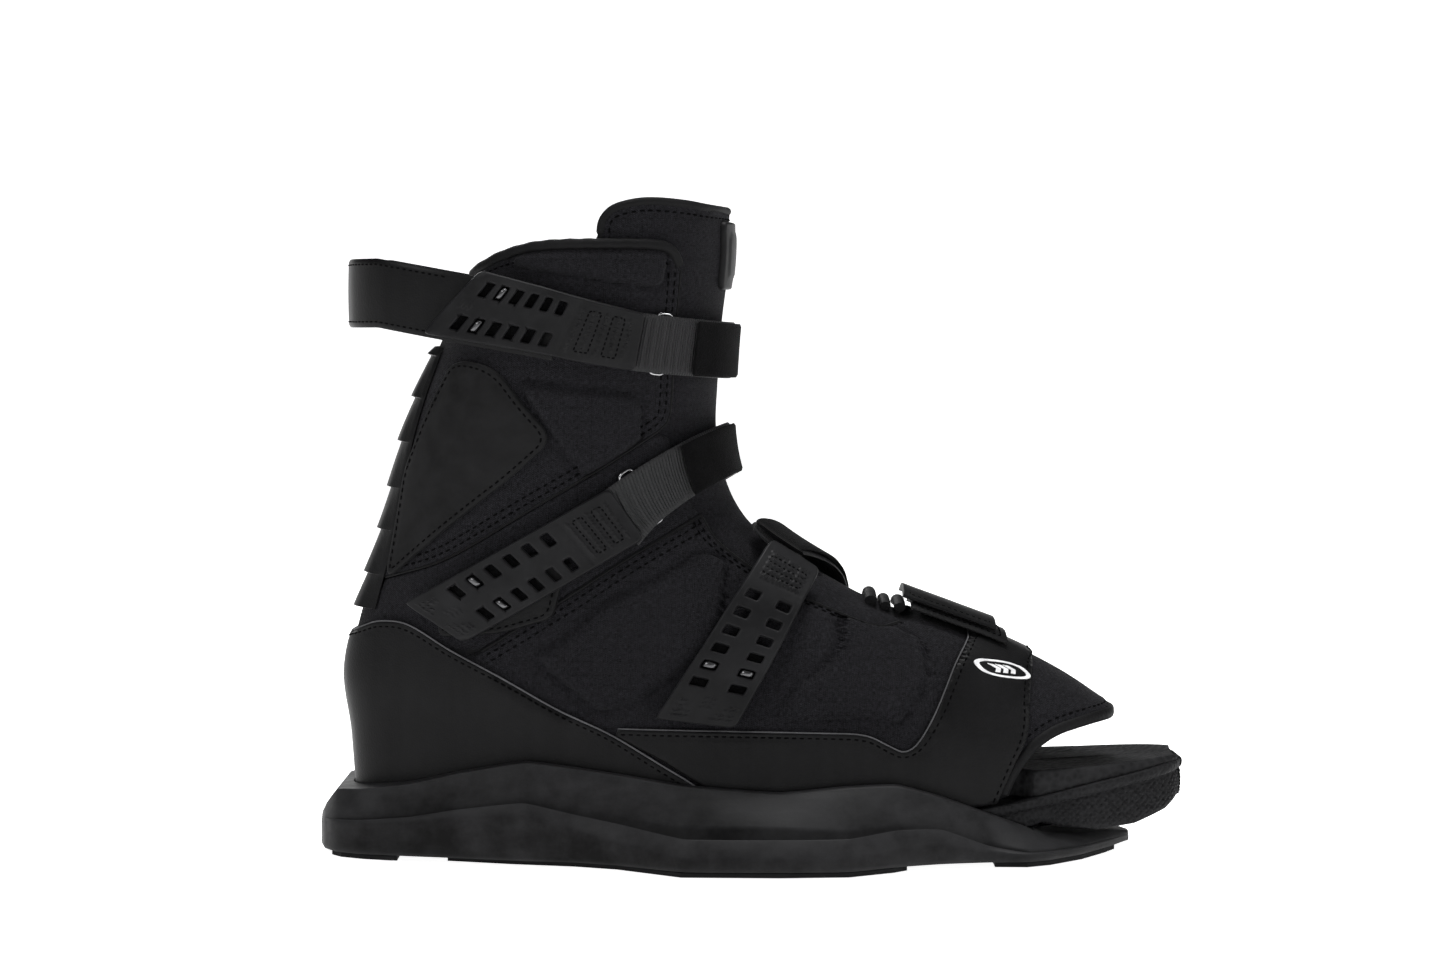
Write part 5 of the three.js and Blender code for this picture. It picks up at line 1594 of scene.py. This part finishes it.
# ---------------------------------------------------------------- instep tab and badge
def instep_flat(back, front, half):
    """Patch that crosses the instep ridge, as (u, v) to the flat layout."""

    def flat(u, v):
        x = back + (front - back) * np.asarray(u, float)
        y = -half + 2 * half * np.asarray(v, float)
        low, high = np.full(x.shape, 60.0), np.full(x.shape, 130.0)
        for _ in range(24):
            z = (low + high) / 2
            ahead = value_at(SHIN_LINE, z) > x
            low, high = np.where(ahead, z, low), np.where(ahead, high, z)
        a, b = low - 45, low
        for _ in range(24):
            z = (a + b) / 2
            wide = np.abs(last_point(angle_at(x, z), z)[:, 1]) > np.abs(y)
            a, b = np.where(wide, z, a), np.where(wide, b, z)
        phi = angle_at(x, a)
        return np.stack([np.where(y < 0, phi, 2 * math.pi - phi) * TURN, a], axis=1)

    return flat


def make_throat_tab():
    layers = [("throat_tab_base", "boot", (50, 86, 19), OVERLAY[1] + 0.85, 1.6, 0.0),
              ("throat_tab_flap", "throat_flap", (46, 81, 16), OVERLAY[1] + 3.1, 1.8, 0.5)]
    for node, body, size, lift, thickness, bulge in layers:
        flat = instep_flat(*size)
        length, width = size[1] - size[0], 2 * size[2]
        piece = ribbon(f"{node}_leather", lambda u, v, d: on_boot(flat(u, v), d),
                       lambda u: lift + 0 * np.asarray(u), thickness, (length * 1.15, width * 1.15),
                       SYNTHETIC, (40, 40), bulge=bulge)
        dressed(piece, body, node)
        edge = straight([*rectangle(0.07, 0.93, 0.06, 0.94), [0.07, 0.06]], 0.02)
        edge = flat(edge[:, 0], edge[:, 1])
        route = on_boot(edge, lift + thickness + 0.05)
        normals = on_boot(edge, lift + thickness + 1.05) - route
        stitch(f"stitching_{node}", route, normals, pitch=2.4, length=1.7, radius=0.28)


def make_throat_loop():
    """Rolled loop of tape before the throat tab."""
    for back, lift, radius in ((34, -1.2, 2.4), (39.5, -1.2, 2.1), (44.5, 0.2, 2.3)):
        flat = instep_flat(back, back + 4, 15)
        v = np.linspace(0, 1, 40)
        route = on_boot(flat(np.full(40, 0.5), v), lift)
        piece = tube(f"throat_loop_{int(back)}", route, radius, BINDING,
                     sides=14, flat=0.8)
        dressed(piece, "boot")


def make_badge():
    """Plain emblem on the toe overlay: an oval ring round three chevrons."""
    centre = laid([[84.5, 70]])[0]
    scale = scales(centre[None], on_boot)[0]
    slope = math.radians(-20)
    turn = np.array([[math.cos(slope), math.sin(slope)], [-math.sin(slope), math.cos(slope)]])
    place = lambda points: centre + (np.asarray(points) @ turn) / scale
    t = np.linspace(0, 2 * math.pi, 48, endpoint=False)
    square = lambda values: np.sign(values) * np.abs(values) ** 0.75
    oval = lambda a, b: np.stack([a * square(np.cos(t)), b * square(np.sin(t))], axis=1)
    lift = (OVERLAY[1] + 0.02, OVERLAY[1] + 0.45)
    ring = panel("badge_ring", [place(oval(8.6, 6.8)), place(oval(7.1, 5.4))], lift, (0.8, 0.8), WHITE,
                 soft=0.3)
    dressed(ring, "boot", "badge")
    for index, loop in enumerate(emblem_loops((-0.6, 0), 7.4)):
        mark = panel(f"badge_chevron_{index + 1}", [place(closed_line(loop, 0.8))], lift, (0.6, 0.6), WHITE,
                     soft=0.3)
        dressed(mark, "boot")


make_throat_tab()
make_throat_loop()
make_badge()

# ---------------------------------------------------------------- stitching, pads and screws
THREAD_BODIES = {"stitching_tongue": "tongue", "stitching_pull_loop": "pull_loop",
                 "stitching_throat_tab_flap": "throat_flap"}
for group, made in THREADS.items():
    points = np.concatenate(made["points"])
    thread = mesh(group, points, made["faces"], THREAD, points[:, [0, 2]])
    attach(thread, THREAD_BODIES.get(group, "boot"))
for names, look in (((f"pad_{part}" for part in ("centre", "heel", "toe")), RUBBER),
                    ((f"sole_screw_{k}" for k in (1, 2, 3, 4)), STEEL)):
    for name in names:
        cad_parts[name].data.materials.clear()
        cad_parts[name].data.materials.append(look)


# ---------------------------------------------------------------- camera, light and floor
CAMERA, CAMERA_TARGET, LENS = (-0.021, -1.4, 0.210), (-0.021, 0, 0.140), 90.8
SOFTBOXES = [                  # place, size and power
    ((-0.9, -0.9, 1.1), 0.35, 8),
    ((1.2, -0.7, 0.7), 0.3, 5),
    ((0.1, 0.1, 1.5), 0.5, 18),
    ((-0.5, 1.2, 0.9), 0.5, 9),
]
SOFTBOX_TARGET = (0, 0, 0.1)
ROOM_LIGHT, FLOOR_GLOW = 0.04, 0.95
FLOOR_LEVEL, FLOOR_RADIUS, RIM_RADIUS = -0.4, 4500, 1000      # a wide dish, in millimetres


def aim(thing, place, target):
    thing.location = place
    thing.rotation_euler = (Vector(target) - Vector(place)).to_track_quat("-Z", "Y").to_euler()


def make_studio():
    lens = bpy.data.cameras.new("camera")
    lens.lens = LENS
    lens.sensor_width = 36
    camera = bpy.data.objects.new("camera", lens)
    bpy.context.scene.collection.objects.link(camera)
    aim(camera, CAMERA, CAMERA_TARGET)
    bpy.context.scene.camera = camera
    for index, (place, size, power) in enumerate(SOFTBOXES):
        light = bpy.data.lights.new(f"softbox_{index}", "AREA")
        light.size = size
        light.energy = power
        lamp = bpy.data.objects.new(f"softbox_{index}", light)
        bpy.context.scene.collection.objects.link(lamp)
        aim(lamp, place, SOFTBOX_TARGET)
    world = bpy.data.worlds.new("studio")
    world.use_nodes = True
    background = world.node_tree.nodes["Background"]
    background.inputs["Color"].default_value = (1, 1, 1, 1)
    background.inputs["Strength"].default_value = ROOM_LIGHT
    bpy.context.scene.world = world
    bpy.context.scene.view_settings.view_transform = "Standard"


def make_floor():
    """Flat pale floor whose far rim turns up, so that it fills the view from every side."""
    look = Look("floor", 0.9, specular=0.1)
    look.shader.inputs["Emission Color"].default_value = (1, 1, 1, 1)
    look.shader.inputs["Emission Strength"].default_value = FLOOR_GLOW
    look.colours(look.noise(look.space, 3.0), (0.86, 0.86, 0.86), (0.9, 0.9, 0.9))
    rise = np.linspace(0, math.pi / 2, 12)
    profile = [[radius, FLOOR_LEVEL] for radius in (1, 600, 1500)]
    profile += [[FLOOR_RADIUS + RIM_RADIUS * math.sin(a), FLOOR_LEVEL + RIM_RADIUS * (1 - math.cos(a))]
                for a in rise]
    turn = np.linspace(0, 2 * math.pi, 72, endpoint=False)
    points = [[r * math.cos(t), r * math.sin(t), z] for r, z in profile for t in turn]
    floor = mesh("floor", points, grid_faces(len(profile), len(turn)), look.material)
    floor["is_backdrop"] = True


make_studio()
make_floor()
boxes = {"cad": CAD_BOX, "visual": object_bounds()}
{k: [list(map(float, corner)) for corner in box] for k, box in boxes.items()}
